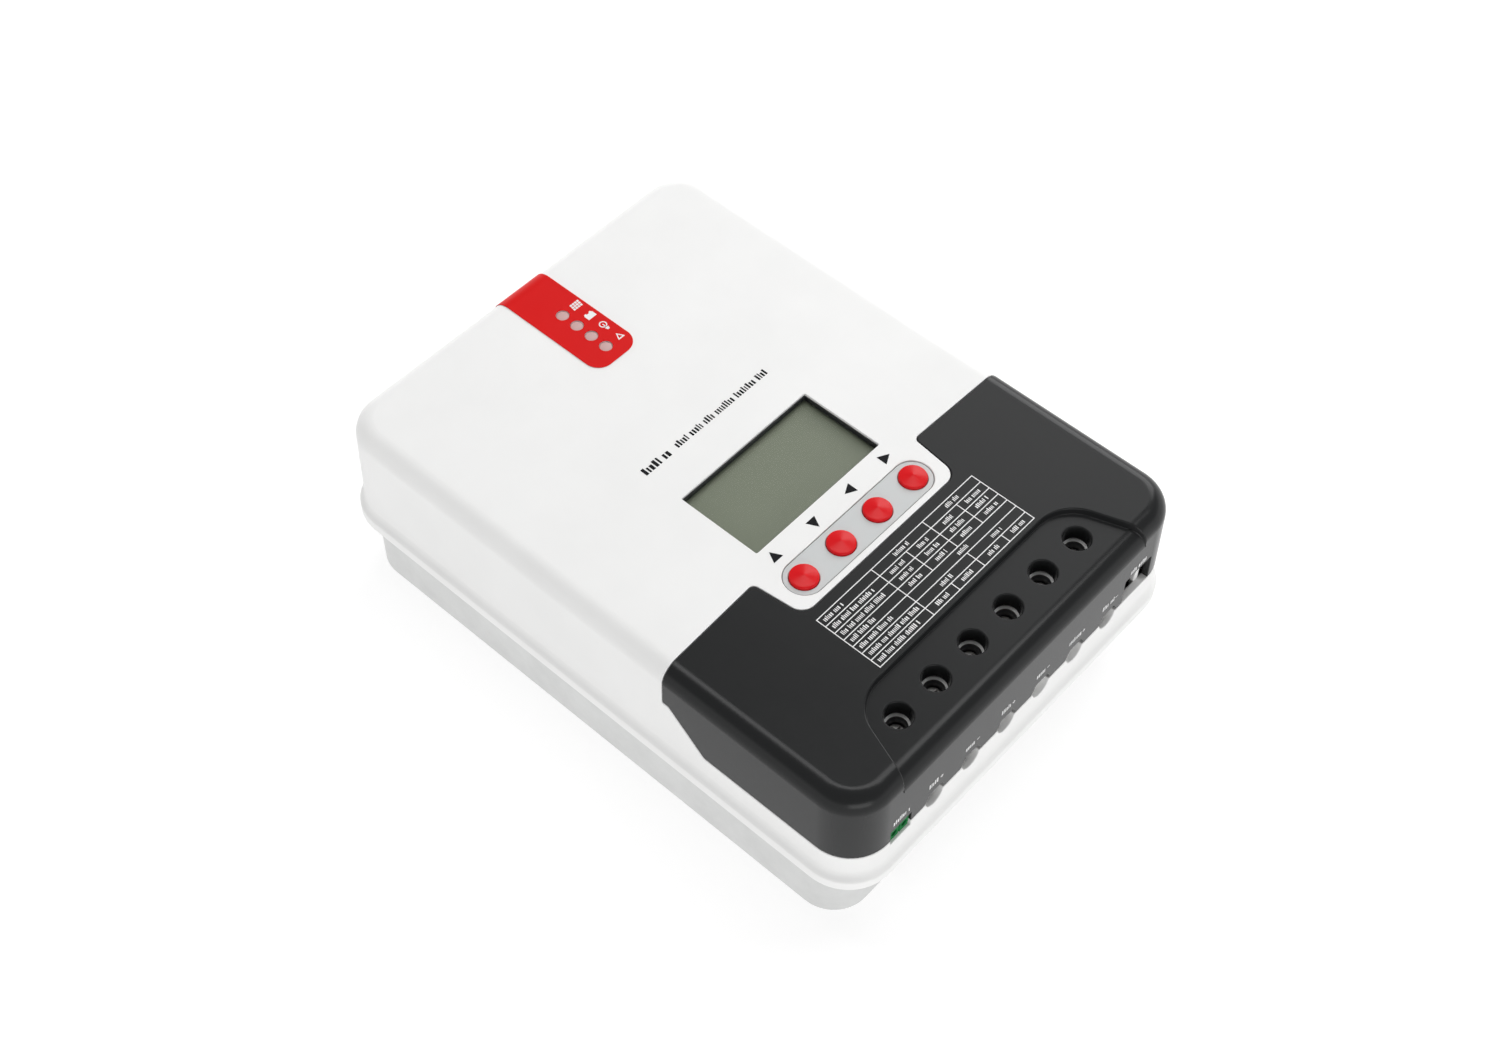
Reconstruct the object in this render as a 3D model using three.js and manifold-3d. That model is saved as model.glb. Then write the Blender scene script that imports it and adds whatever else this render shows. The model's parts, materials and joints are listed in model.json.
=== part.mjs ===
// Solar charge controller: a moulded housing and terminal cover on a finned heat sink, with its boards, keys
// and screw terminals inside. Millimetres. +X is the reader's right, +Y points away from the terminals and
// +Z out of the front. The origin is the centre of the heat sink's back face.

import * as THREE from 'three';
import { mergeVertices } from 'three/addons/utils/BufferGeometryUtils.js';
import Module from 'manifold-3d';

const wasm = await Module();
wasm.setup();

// ---- Driving dimensions -------------------------------------------------------------------------

// Outer shape of the plastic body
const RIM_HALF_X = 87;
const RIM_HALF_Y = 118.5;
const RIM_RADIUS = 18;
const RIM_BOTTOM = 24.8;
const LEDGE_Z = 30.2;
const LEDGE_INSET = 2;
const LEDGE_CURVE = [[-1.4, 0], [-0.5, 0.35], [0.3, 1], [1.5, 1.65], [3.4, LEDGE_INSET]];
const SIDE_DRAFT = 0;
const END_DRAFT = 1.5;
const TOP_Z = 72.5;
const EDGE_RADIUS = 7;
const WALL = 2.6;
const SEAM = 0.25;

// Heat sink
const SINK_HALF_X = 83.7;
const SINK_HALF_Y = 111;
const SINK_RADIUS = 14;
const SINK_TOP = 27.2;
const SINK_WALL = 3.7;
const PLATE_BOTTOM = 20;
const FIN_PITCH = 9;
const FIN_COUNT = 17;
const FIN_THICKNESS = 2;
const FIN_TIP_Z = 1.5;
const PAD_INNER_X = 57;
const PAD_INNER_Y = 85;
const SLOT_SPACING_X = 147;
const SLOT_SPACING_Y = 180;

// Terminal cover
const COVER_EDGE_Z = 41.5;
const EAR_BOTTOM_Z = 55.6;
const EAR_Y = -34.2;
const EAR_DROP = 2;
const NOTCH_HALF = 38.8;
const NOTCH_Y = -54;
const NOTCH_RADIUS = 5.5;
const PANEL_Z = 70;
const PANEL_BACK_Y = -86.4;
const PANEL_CORNER_X = 52.5;
const PANEL_FRONT_X = 68.2;

// Terminals: six poles in a row
const POLES = [-46, -27.6, -9.2, 9.2, 27.6, 46];
const POLE_Y = -98.5;
const ACCESS_RADIUS = 4.8;
const BORE_FOOT_RADIUS = 4.25;
const BLOCK_TOP = 64;
const BLOCK_HALF = 52.2;
const BLOCK_FRONT_Y = -111.4;
const BLOCK_BACK_Y = -86;
const WELL_RADIUS = 3.2;
const SCREW_SEAT = 57;
const SCREW_TOP = 60.6;
const ENTRY_Z = COVER_EDGE_Z;
const ENTRY_RADIUS = 4.3;
const THREAD_RADIUS = 2;

// Sockets beside the poles
const TEMP_X = -62.9;
const TEMP_HALF = 5;
const DATA_LEFT = 54.2;
const DATA_RIGHT = 68.8;
const DATA_TOP = 53.1;
const POST_X = 65.6;

// Front panel
const LCD = { halfX: 30.9, y: -10.4, halfY: 16.5 };
const LENS_BOTTOM = 69;
const KEYS = [-27.6, -9.2, 9.2, 27.6];
const KEY_NAMES = ['button_up', 'button_down', 'button_left', 'button_right'];
const KEY_Y = -44.2;
const KEY_RADIUS = 5;
const PILL_HALF = 34.5;
const PILL_RADIUS = 7;
const LED_X = 0.3;
const LEDS = [91.5, 84.5, 77.5, 70.5];
const LED_RADIUS = 2.2;
const LED_CLEARANCE = 0.2;
const STRIPE_HALF = 10.2;
const STRIPE_Y = 63.6;
const STRIPE_BOTTOM_Z = 50;

// Boards
const MAIN_BOARD_Z = 33;
const BOARD_THICKNESS = 1.6;
const DISPLAY_BOARD_Z = 58.4;
const GAP = 0.3;

// Fasteners
const CASE_SCREWS = [[-64, -103], [64, -103], [-64, 103], [64, 103]];
const BOARD_SCREWS = [[-68, 76], [55, 76]];
const DISPLAY_SCREWS = [[-41, 30], [41, 30]];

// ---- Solids -------------------------------------------------------------------------------------

// A closed three.js geometry as a solid for cutting and joining
function solid(geometry) {
  const bare = geometry.clone();
  bare.deleteAttribute('normal');
  bare.deleteAttribute('uv');
  const merged = mergeVertices(bare);
  const corners = merged.index.array;
  const kept = [];
  for (let i = 0; i < corners.length; i += 3) {
    const [a, b, c] = corners.slice(i, i + 3);
    if (a !== b && b !== c && c !== a) kept.push(a, b, c);
  }
  return new wasm.Manifold(new wasm.Mesh({
    numProp: 3,
    vertProperties: new Float32Array(merged.attributes.position.array),
    triVerts: new Uint32Array(kept),
  }));
}

function box(x0, x1, y0, y1, z0, z1) {
  const geometry = new THREE.BoxGeometry(x1 - x0, y1 - y0, z1 - z0);
  geometry.translate((x0 + x1) / 2, (y0 + y1) / 2, (z0 + z1) / 2);
  return solid(geometry);
}

function rod(x, y, z0, z1, radius, sides = 16) {
  const geometry = new THREE.CylinderGeometry(radius, radius, z1 - z0, sides);
  geometry.rotateX(Math.PI / 2);
  geometry.translate(x, y, (z0 + z1) / 2);
  return solid(geometry);
}

// A rod along Y
function rodAlongY(x, z, y0, y1, radius, sides = 16) {
  const geometry = new THREE.CylinderGeometry(radius, radius, y1 - y0, sides);
  geometry.translate(x, (y0 + y1) / 2, z);
  return solid(geometry);
}

// A body of revolution about Z; the profile is [radius, z] pairs from the bottom up
function turned(x, y, profile, sides = 16) {
  const geometry = new THREE.LatheGeometry(profile.map(([r, z]) => new THREE.Vector2(r, z)), sides);
  geometry.rotateX(Math.PI / 2);
  geometry.translate(x, y, 0);
  return solid(geometry);
}

function extrusion(shape, depth) {
  return new THREE.ExtrudeGeometry(shape, { depth, bevelEnabled: false, curveSegments: 5 });
}

function prism(shape, z0, z1) {
  const geometry = extrusion(shape, z1 - z0);
  geometry.translate(0, 0, z0);
  return solid(geometry);
}

// A prism along X whose shape is drawn in Y and Z
function prismAlongX(shape, x0, x1) {
  const geometry = extrusion(shape, x1 - x0);
  geometry.rotateY(Math.PI / 2);
  geometry.rotateX(Math.PI / 2);
  geometry.translate(x0, 0, 0);
  return solid(geometry);
}

// A prism along Y whose shape is drawn in X and Z
function prismAlongY(shape, y0, y1) {
  const geometry = extrusion(shape, y1 - y0);
  geometry.rotateX(Math.PI / 2);
  geometry.translate(0, y1, 0);
  return solid(geometry);
}

function polygon(points) {
  return new THREE.Shape(points.map(([u, v]) => new THREE.Vector2(u, v)));
}

function roundedShape(halfX, halfY, radius, x = 0, y = 0) {
  const shape = new THREE.Shape();
  shape.absarc(x + halfX - radius, y - halfY + radius, radius, -Math.PI / 2, 0);
  shape.absarc(x + halfX - radius, y + halfY - radius, radius, 0, Math.PI / 2);
  shape.absarc(x - halfX + radius, y + halfY - radius, radius, Math.PI / 2, Math.PI);
  shape.absarc(x - halfX + radius, y - halfY + radius, radius, Math.PI, 1.5 * Math.PI);
  return shape;
}

function joined(first, ...others) {
  return others.reduce((sum, other) => sum.add(other), first);
}

function cut(first, ...others) {
  return others.reduce((rest, other) => rest.subtract(other), first);
}

// ---- Scene --------------------------------------------------------------------------------------

const group = new THREE.Group();
group.name = 'charge_controller';

function material(color, roughness, metalness = 0) {
  return new THREE.MeshStandardMaterial({ color, roughness, metalness });
}

const MATERIALS = {
  whitePlastic: material(0xf0f0ee, 0.45),
  blackPlastic: material(0x1e1f20, 0.5),
  greyPlastic: material(0xc8cbcb, 0.55),
  blockPlastic: material(0xb9bab4, 0.6),
  redPlastic: material(0xd81a20, 0.2),
  redLabel: material(0xde2626, 0.4),
  clear: material(0xd8e0d4, 0.1),
  display: material(0x707a68, 0.3),
  board: material(0x1d5a34, 0.5),
  green: material(0x2f8a50, 0.5),
  dark: material(0x161718, 0.5),
  lamp: material(0xafa5a0, 0.25),
  aluminium: material(0xb9bcbb, 0.5, 0.8),
  steel: material(0xa8a9a6, 0.35, 0.9),
  brass: material(0xb99a4c, 0.35, 0.9),
  copperWire: material(0x9a5a2c, 0.4, 0.5),
};

function addPart(name, shape, look) {
  const mesh = shape.getMesh();
  const geometry = new THREE.BufferGeometry();
  geometry.setAttribute('position', new THREE.BufferAttribute(new Float32Array(mesh.vertProperties), 3));
  geometry.setIndex(new THREE.BufferAttribute(new Uint32Array(mesh.triVerts), 1));
  geometry.computeVertexNormals();
  const part = new THREE.Mesh(geometry, MATERIALS[look]);
  part.name = name;
  group.add(part);
}

// ---- Outer form of the body, as stacked rounded outlines ----------------------------------------

const CORNER_STEPS = 5;
const EDGE_STEPS = 4;

// Points of a rounded outline, counter-clockwise from above
function outline(halfX, halfY, radius) {
  const points = [];
  const corners = [[1, -1, -0.5], [1, 1, 0], [-1, 1, 0.5], [-1, -1, 1]];
  for (const [sx, sy, start] of corners) {
    for (let i = 0; i <= CORNER_STEPS; i += 1) {
      const angle = (start + i / CORNER_STEPS / 2) * Math.PI;
      points.push([
        sx * (halfX - radius) + radius * Math.cos(angle),
        sy * (halfY - radius) + radius * Math.sin(angle),
      ]);
    }
  }
  return points;
}

// A closed solid through stacked outlines, each { z, points }, lowest first
function stacked(levels) {
  const count = levels[0].points.length;
  const positions = levels.flatMap(({ z, points }) => points.flatMap(([x, y]) => [x, y, z]));
  const triangles = [];
  for (let level = 0; level + 1 < levels.length; level += 1) {
    for (let i = 0; i < count; i += 1) {
      const next = (i + 1) % count;
      const low = level * count;
      const high = low + count;
      triangles.push(low + i, low + next, high + next, low + i, high + next, high + i);
    }
  }
  const top = (levels.length - 1) * count;
  for (let i = 1; i + 1 < count; i += 1) {
    triangles.push(0, i + 1, i);
    triangles.push(top, top + i, top + i + 1);
  }
  const geometry = new THREE.BufferGeometry();
  geometry.setAttribute('position', new THREE.Float32BufferAttribute(positions, 3));
  geometry.setIndex(triangles);
  return solid(geometry);
}

// One outline of the body, set in from the rim by inset plus a share of the draft; offset goes inwards
function bodyOutline(z, inset, draftShare, offset) {
  const insetX = inset + SIDE_DRAFT * draftShare + offset;
  const insetY = inset + END_DRAFT * draftShare + offset;
  const radius = Math.max(RIM_RADIUS - inset - offset, 0.8);
  return { z, points: outline(RIM_HALF_X - insetX, RIM_HALF_Y - insetY, radius) };
}

// The rounded shoulder between the drafted walls and the flat top
function shoulder(offset) {
  const radius = EDGE_RADIUS - offset;
  const levels = [];
  for (let i = 0; i <= EDGE_STEPS; i += 1) {
    const angle = (i / EDGE_STEPS) * (Math.PI / 2);
    const z = TOP_Z - EDGE_RADIUS + radius * Math.sin(angle);
    levels.push(bodyOutline(z, LEDGE_INSET + radius * (1 - Math.cos(angle)), 1, offset));
  }
  return levels;
}

function bodyForm(offset) {
  return stacked([
    bodyOutline(RIM_BOTTOM, 0.4, 0, offset),
    bodyOutline(RIM_BOTTOM + 0.4, 0, 0, offset),
    ...LEDGE_CURVE.map(([rise, inset]) => bodyOutline(LEDGE_Z + rise, inset, 0, offset)),
    ...shoulder(offset),
  ]);
}

// The hollow of the body: straight walls inside the rim, then the shoulder
function bodyHollow() {
  return stacked([
    bodyOutline(RIM_BOTTOM + WALL, LEDGE_INSET, 0, WALL),
    ...shoulder(WALL),
  ]);
}

// ---- Terminal cover's region of the body --------------------------------------------------------

// Plan of the cover: two ears beside the keypad notch; grow widens it by the seam
function coverPlan(grow) {
  const earY = EAR_Y + grow;
  const notch = NOTCH_HALF - grow;
  const notchY = NOTCH_Y + grow;
  const slant = 2.2;
  const shape = new THREE.Shape();
  shape.moveTo(-100, -130);
  shape.lineTo(100, -130);
  shape.lineTo(100, earY - EAR_DROP);
  shape.lineTo(notch + slant + 1.5, earY);
  shape.lineTo(notch + slant, earY - 1.5);
  shape.lineTo(notch, notchY + NOTCH_RADIUS);
  shape.absarc(notch - NOTCH_RADIUS, notchY + NOTCH_RADIUS, NOTCH_RADIUS, 0, -Math.PI / 2, true);
  shape.absarc(-notch + NOTCH_RADIUS, notchY + NOTCH_RADIUS, NOTCH_RADIUS, -Math.PI / 2, -Math.PI, true);
  shape.lineTo(-notch - slant, earY - 1.5);
  shape.lineTo(-notch - slant - 1.5, earY);
  shape.lineTo(-100, earY - EAR_DROP);
  return shape;
}

// Side view of the cover: the ears' lower corner, the slope and the long lower edge
function coverSide(grow) {
  return polygon([
    [-130, COVER_EDGE_Z - grow],
    [-53.6 + grow, COVER_EDGE_Z - grow],
    [-38.2 + grow, EAR_BOTTOM_Z - grow],
    [-20, EAR_BOTTOM_Z - grow],
    [-20, 90],
    [-130, 90],
  ]);
}

function coverRegion(grow) {
  return prism(coverPlan(grow), 30, 90).intersect(prismAlongX(coverSide(grow), -100, 100));
}

// The sunken panel around the access holes; it runs out through the front shoulder
function panelShape(grow) {
  const corner = PANEL_CORNER_X + grow;
  const front = PANEL_FRONT_X + grow;
  const backY = PANEL_BACK_Y + grow;
  const shape = new THREE.Shape();
  shape.moveTo(-front, -130);
  shape.lineTo(front, -130);
  shape.lineTo(corner + 4, backY - 10.4);
  shape.quadraticCurveTo(corner, backY, corner - 11.1, backY);
  shape.lineTo(-corner + 11.1, backY);
  shape.quadraticCurveTo(-corner, backY, -corner - 4, backY - 10.4);
  return shape;
}

// ---- Parts --------------------------------------------------------------------------------------

function heatSink() {
  const foot = prism(roundedShape(SINK_HALF_X, SINK_HALF_Y, SINK_RADIUS), 0, PLATE_BOTTOM + 1);
  let body = prism(roundedShape(SINK_HALF_X, SINK_HALF_Y, SINK_RADIUS), PLATE_BOTTOM, SINK_TOP);
  for (const sx of [-1, 1]) {
    const wallX = [sx * SINK_HALF_X, sx * (SINK_HALF_X - SINK_WALL)].sort((a, b) => a - b);
    body = body.add(box(wallX[0], wallX[1], -PAD_INNER_Y - 1, PAD_INNER_Y + 1, 0, PLATE_BOTTOM + 1));
    for (const sy of [-1, 1]) {
      const padX = [sx * PAD_INNER_X, sx * 100].sort((a, b) => a - b);
      const padY = [sy * PAD_INNER_Y, sy * 130].sort((a, b) => a - b);
      body = body.add(foot.intersect(box(padX[0], padX[1], padY[0], padY[1], -1, PLATE_BOTTOM + 2)));
    }
  }
  for (let i = 0; i < FIN_COUNT; i += 1) {
    const x = (i - (FIN_COUNT - 1) / 2) * FIN_PITCH;
    const reach = Math.abs(x) + FIN_THICKNESS < PAD_INNER_X ? SINK_HALF_Y - 3 : PAD_INNER_Y + 0.5;
    const half = FIN_THICKNESS / 2;
    body = body.add(box(x - half, x + half, -reach, reach, FIN_TIP_Z, PLATE_BOTTOM + 1));
  }
  for (const sx of [-1, 1]) {
    for (const sy of [-1, 1]) {
      const slot = roundedShape(2.35, 3.83, 2.34, sx * SLOT_SPACING_X / 2, sy * SLOT_SPACING_Y / 2);
      body = body.subtract(prism(slot, -1, 8));
    }
  }
  for (const [x, y] of CASE_SCREWS) {
    body = cut(body, rod(x, y, -1, 14.5, 4.6), rod(x, y, 14, SINK_TOP + 1, 2.4, 16));
  }
  for (const [x, y] of BOARD_SCREWS) {
    body = body.add(rod(x, y, SINK_TOP - 0.5, MAIN_BOARD_Z - GAP, 3.5, 16));
    body = body.subtract(rod(x, y, SINK_TOP - 5, MAIN_BOARD_Z, 1.7, 12));
  }
  return body;
}

// Half-round cable entries at the cover's lower edge
function cableEntries() {
  return POLES.map((x) => rodAlongY(x, ENTRY_Z, -125, -108, ENTRY_RADIUS));
}

// Half-round lips inside the housing's wall that carry the cables to the terminal block
function cableLips() {
  const below = box(-60, 60, -115, -110, 30, ENTRY_Z - GAP);
  const lip = (x) => rodAlongY(x, ENTRY_Z, -114.2, BLOCK_FRONT_Y - GAP, ENTRY_RADIUS + 1.2);
  return POLES.map((x) => lip(x).intersect(below));
}

function tempNotch(z0, z1) {
  return box(TEMP_X - TEMP_HALF, TEMP_X + TEMP_HALF, -125, -108, z0, z1);
}

function housing() {
  const sinkOpening = roundedShape(SINK_HALF_X + 0.5, SINK_HALF_Y + 0.5, SINK_RADIUS + 0.5);
  let body = cut(
    bodyForm(0),
    bodyHollow(),
    prism(sinkOpening, RIM_BOTTOM - 1, RIM_BOTTOM + WALL + 0.5),
    coverRegion(SEAM),
    box(-LCD.halfX, LCD.halfX, LCD.y - LCD.halfY, LCD.y + LCD.halfY, 60, 80),
    prism(roundedShape(PILL_HALF + 0.2, PILL_RADIUS + 0.2, PILL_RADIUS + 0.2, 0, KEY_Y), 60, 80),
    ...LEDS.map((y) => rod(LED_X, y, 60, 80, LED_RADIUS + LED_CLEARANCE)),
    tempNotch(COVER_EDGE_Z - 2.4, 50),
  );
  body = cut(joined(body, ...cableLips()), ...cableEntries());
  for (const [x, y] of CASE_SCREWS) {
    const wallY = [y, Math.sign(y) * (RIM_HALF_Y - LEDGE_INSET - 1)].sort((a, b) => a - b);
    body = joined(
      body,
      rod(x, y, SINK_TOP + GAP, MAIN_BOARD_Z - 0.6, 4.4, 16),
      box(x - 1.2, x + 1.2, wallY[0], wallY[1], SINK_TOP + GAP + 0.2, MAIN_BOARD_Z - 0.8),
    );
    body = body.subtract(rod(x, y, SINK_TOP - 1, MAIN_BOARD_Z, 2.3, 16));
  }
  for (const [x, y] of DISPLAY_SCREWS) {
    body = body.add(rod(x, y, DISPLAY_BOARD_Z + BOARD_THICKNESS + GAP, TOP_Z - 1, 3.4, 16));
    body = body.subtract(rod(x, y, DISPLAY_BOARD_Z, TOP_Z - 3.5, 1.7, 12));
  }
  const post = box(POST_X - 1.1, POST_X + 1.1, -113.6, -111.9, RIM_BOTTOM + 8, DATA_TOP - 0.6);
  const postFoot = box(POST_X - 1.1, POST_X + 1.1, -114.5, -112, RIM_BOTTOM + 8, COVER_EDGE_Z - 1);
  return joined(body, post, postFoot);
}

function terminalCover() {
  const form = bodyForm(0);
  const region = coverRegion(0);
  const below = bodyForm(WALL);
  const panelUnder = form.intersect(prism(panelShape(WALL), PANEL_Z - WALL, TOP_Z));
  let body = form.subtract(below).intersect(region).add(panelUnder);
  for (const x of POLES) {
    body = body.add(rod(x, POLE_Y, BLOCK_TOP + GAP, PANEL_Z - 1, ACCESS_RADIUS + 1.4));
  }
  const lowered = form.translate([0, -0.12, PANEL_Z - TOP_Z]);
  body = body.subtract(prism(panelShape(0), PANEL_Z - 9, TOP_Z + 5).subtract(lowered));
  for (const x of POLES) {
    body = body.subtract(turned(x, POLE_Y, [
      [0, BLOCK_TOP - 1], [BORE_FOOT_RADIUS, BLOCK_TOP - 1], [BORE_FOOT_RADIUS, BLOCK_TOP + 1],
      [ACCESS_RADIUS, PANEL_Z - 1], [ACCESS_RADIUS, TOP_Z], [0, TOP_Z],
    ]));
    body = body.subtract(prismAlongY(polygon([
      [x - 5.2, ENTRY_Z - 2], [x + 5.2, ENTRY_Z - 2], [x + 5.2, ENTRY_Z], [x + 3.1, ENTRY_Z + 3.8],
      [x - 3.1, ENTRY_Z + 3.8], [x - 5.2, ENTRY_Z],
    ]), -125, -108));
  }
  body = cut(
    body,
    tempNotch(30, COVER_EDGE_Z + 4.8),
    box(DATA_LEFT, DATA_RIGHT, -125, -108, 30, DATA_TOP),
  );
  // Tongues that hook under the housing's front face
  for (const x of [-60, 60]) {
    body = body.add(box(x - 8, x + 8, EAR_Y - 12, EAR_Y - 4, TOP_Z - WALL - 2.2, TOP_Z - WALL + 0.5));
    body = body.add(box(x - 8, x + 8, EAR_Y - 6, EAR_Y + 6, TOP_Z - WALL - 2.2, TOP_Z - WALL - GAP));
  }
  return body;
}

function statusLabel() {
  const sheet = bodyForm(-0.45).subtract(bodyForm(-0.1));
  const plan = new THREE.Shape();
  plan.moveTo(STRIPE_HALF, 130);
  plan.lineTo(-STRIPE_HALF, 130);
  plan.absarc(-STRIPE_HALF + 6, STRIPE_Y + 6, 6, Math.PI, 1.5 * Math.PI);
  plan.absarc(STRIPE_HALF - 6, STRIPE_Y + 6, 6, 1.5 * Math.PI, 2 * Math.PI);
  return cut(
    sheet.intersect(prism(plan, STRIPE_BOTTOM_Z, 80)),
    ...LEDS.map((y) => rod(LED_X, y, 60, 80, LED_RADIUS + LED_CLEARANCE)),
  );
}

function keypadPlate() {
  const flangeTop = TOP_Z - WALL - GAP;
  const flangeShape = roundedShape(PILL_HALF + 2, PILL_RADIUS + 2, PILL_RADIUS + 2, 0, KEY_Y);
  const plateShape = roundedShape(PILL_HALF, PILL_RADIUS, PILL_RADIUS, 0, KEY_Y);
  const flange = prism(flangeShape, flangeTop - 2, flangeTop);
  const plate = prism(plateShape, flangeTop - 1, TOP_Z - 0.3);
  return cut(flange.add(plate), ...KEYS.map((x) => rod(x, KEY_Y, 60, 80, KEY_RADIUS + 0.25, 20)));
}

function button(x) {
  const flangeTop = TOP_Z - WALL - GAP - 2 - GAP;
  return turned(x, KEY_Y, [
    [0, flangeTop - 1.3],
    [6, flangeTop - 1.3],
    [6, flangeTop],
    [KEY_RADIUS, flangeTop],
    [KEY_RADIUS, TOP_Z + 0.3],
    [KEY_RADIUS - 0.5, TOP_Z + 0.8],
    [0, TOP_Z + 1.6],
  ], 20);
}

function keySwitch(x) {
  const foot = DISPLAY_BOARD_Z + BOARD_THICKNESS + GAP;
  const plunger = rod(x, KEY_Y, foot + 3, 64.9, 1.75, 12);
  return box(x - 3, x + 3, KEY_Y - 3, KEY_Y + 3, foot, foot + 3.5).add(plunger);
}

function statusLed(y) {
  const foot = DISPLAY_BOARD_Z + BOARD_THICKNESS + GAP;
  return turned(LED_X, y, [
    [0, foot],
    [2.8, foot],
    [2.8, foot + 1],
    [LED_RADIUS, foot + 1],
    [LED_RADIUS, TOP_Z - 1],
    [LED_RADIUS * 0.8, TOP_Z - 0.4],
    [0, TOP_Z - 0.1],
  ], 12);
}

function displayBoard() {
  const slab = box(-46, 46, -52, 98, DISPLAY_BOARD_Z, DISPLAY_BOARD_Z + BOARD_THICKNESS);
  return cut(slab, ...DISPLAY_SCREWS.map(([x, y]) => rod(x, y, 50, 65, 1.8, 12)));
}

function lcdModule() {
  const foot = DISPLAY_BOARD_Z + BOARD_THICKNESS + GAP;
  const frame = box(-35, 35, LCD.y - 20.5, LCD.y + 20.5, foot, 66.9);
  const halfX = LCD.halfX + 0.6;
  const halfY = LCD.halfY + 0.6;
  return frame.add(box(-halfX, halfX, LCD.y - halfY, LCD.y + halfY, 66, LENS_BOTTOM - GAP));
}

function lcdLens() {
  return box(-34.5, 34.5, LCD.y - 20, LCD.y + 20, LENS_BOTTOM, TOP_Z - WALL - GAP);
}

function mainBoard() {
  const shape = polygon([
    [-75, 92], [-75, -92], [-70, -108], [70, -108], [75, -92], [75, 0], [62, 8], [62, 92],
  ]);
  return cut(
    prism(shape, MAIN_BOARD_Z, MAIN_BOARD_Z + BOARD_THICKNESS),
    ...BOARD_SCREWS.map(([x, y]) => rod(x, y, 30, 40, 1.8, 12)),
  );
}

const ON_MAIN_BOARD = MAIN_BOARD_Z + BOARD_THICKNESS + GAP;

function terminalBlock() {
  let body = box(-BLOCK_HALF, BLOCK_HALF, BLOCK_FRONT_Y, BLOCK_BACK_Y, ON_MAIN_BOARD, BLOCK_TOP);
  for (const x of POLES) {
    body = cut(
      body,
      box(x - 5.3, x + 5.3, POLE_Y - 5.5, POLE_Y + 5.5, 36, 53),
      rodAlongY(x, ENTRY_Z, BLOCK_FRONT_Y - 1, POLE_Y, ENTRY_RADIUS - 0.2),
      box(x - 3.2, x + 3.2, POLE_Y, BLOCK_BACK_Y - 2.7, 43.9, 46.3),
      turned(x, POLE_Y, [
        [0, 52], [2.5, 52], [2.5, SCREW_SEAT], [WELL_RADIUS, SCREW_SEAT], [WELL_RADIUS, BLOCK_TOP - 0.9],
        [WELL_RADIUS + 1, BLOCK_TOP + 0.1], [WELL_RADIUS + 1, 66], [0, 66],
      ]),
    );
  }
  return body;
}

function clampScrew(x) {
  const head = turned(x, POLE_Y, [
    [0, 46.6],
    [THREAD_RADIUS - 0.4, 46.6],
    [THREAD_RADIUS - 0.05, 47],
    [THREAD_RADIUS - 0.05, SCREW_SEAT + GAP],
    [WELL_RADIUS - 0.3, SCREW_SEAT + GAP],
    [WELL_RADIUS - 0.3, SCREW_TOP - 0.4],
    [WELL_RADIUS - 0.6, SCREW_TOP],
    [0, SCREW_TOP],
  ], 12);
  return cut(
    head,
    box(x - 2.2, x + 2.2, POLE_Y - 0.4, POLE_Y + 0.4, SCREW_TOP - 1.6, 63),
    box(x - 0.4, x + 0.4, POLE_Y - 2.2, POLE_Y + 2.2, SCREW_TOP - 1.6, 63),
  );
}

function clampCage(x) {
  return cut(
    box(x - 4.9, x + 4.9, POLE_Y - 5, POLE_Y + 5, 36.4, 49),
    box(x - 3.6, x + 3.6, POLE_Y - 6, POLE_Y + 6, 37.8, 46.8),
    rod(x, POLE_Y, 46, 50, THREAD_RADIUS + 0.15, 16),
  );
}

// The fixed jaw inside each cage, carried back into the block
function contactBar(x) {
  return box(x - 2.9, x + 2.9, POLE_Y - 5.2, BLOCK_BACK_Y - 3.1, 44.3, 45.9);
}

function tempSocket() {
  const body = box(TEMP_X - 4.7, TEMP_X + 4.7, -112.4, -101, ON_MAIN_BOARD, 47);
  const nose = box(TEMP_X - 4.5, TEMP_X + 4.5, -115.4, -112, COVER_EDGE_Z - 2, COVER_EDGE_Z + 4.4);
  return cut(
    body.add(nose),
    rodAlongY(TEMP_X - 2.4, 42.4, -117, -106, 1.3, 10),
    rodAlongY(TEMP_X + 2.4, 42.4, -117, -106, 1.3, 10),
    box(TEMP_X - 0.3, TEMP_X + 0.3, -117, -114.8, 38, 50),
  );
}

function dataSocket() {
  const body = box(DATA_LEFT - 1.6, POST_X + 0.9, -111.5, -96, ON_MAIN_BOARD, 52.6);
  return cut(
    body,
    box(DATA_LEFT + 0.2, DATA_LEFT + 10.1, -113, -99, 43, 51.2),
    box(DATA_LEFT + 3.2, DATA_LEFT + 7.1, -113, -99, 40.8, 44),
  );
}

function powerInductor(x, y) {
  const centreZ = ON_MAIN_BOARD + 9;
  const profile = [];
  for (let i = 0; i <= 8; i += 1) {
    const angle = (i / 8) * 2 * Math.PI;
    profile.push([14 + 6.5 * Math.cos(angle), centreZ + 8.5 * Math.sin(angle)]);
  }
  return turned(x, y, profile, 18);
}

function capacitor(x, y) {
  return turned(x, y, [
    [0, ON_MAIN_BOARD], [8.6, ON_MAIN_BOARD], [9, ON_MAIN_BOARD + 0.6], [9, ON_MAIN_BOARD + 2.4],
    [8.5, ON_MAIN_BOARD + 3], [9, ON_MAIN_BOARD + 3.6], [9, ON_MAIN_BOARD + 19], [8.4, ON_MAIN_BOARD + 19.6],
    [0, ON_MAIN_BOARD + 19.6],
  ], 16);
}

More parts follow.
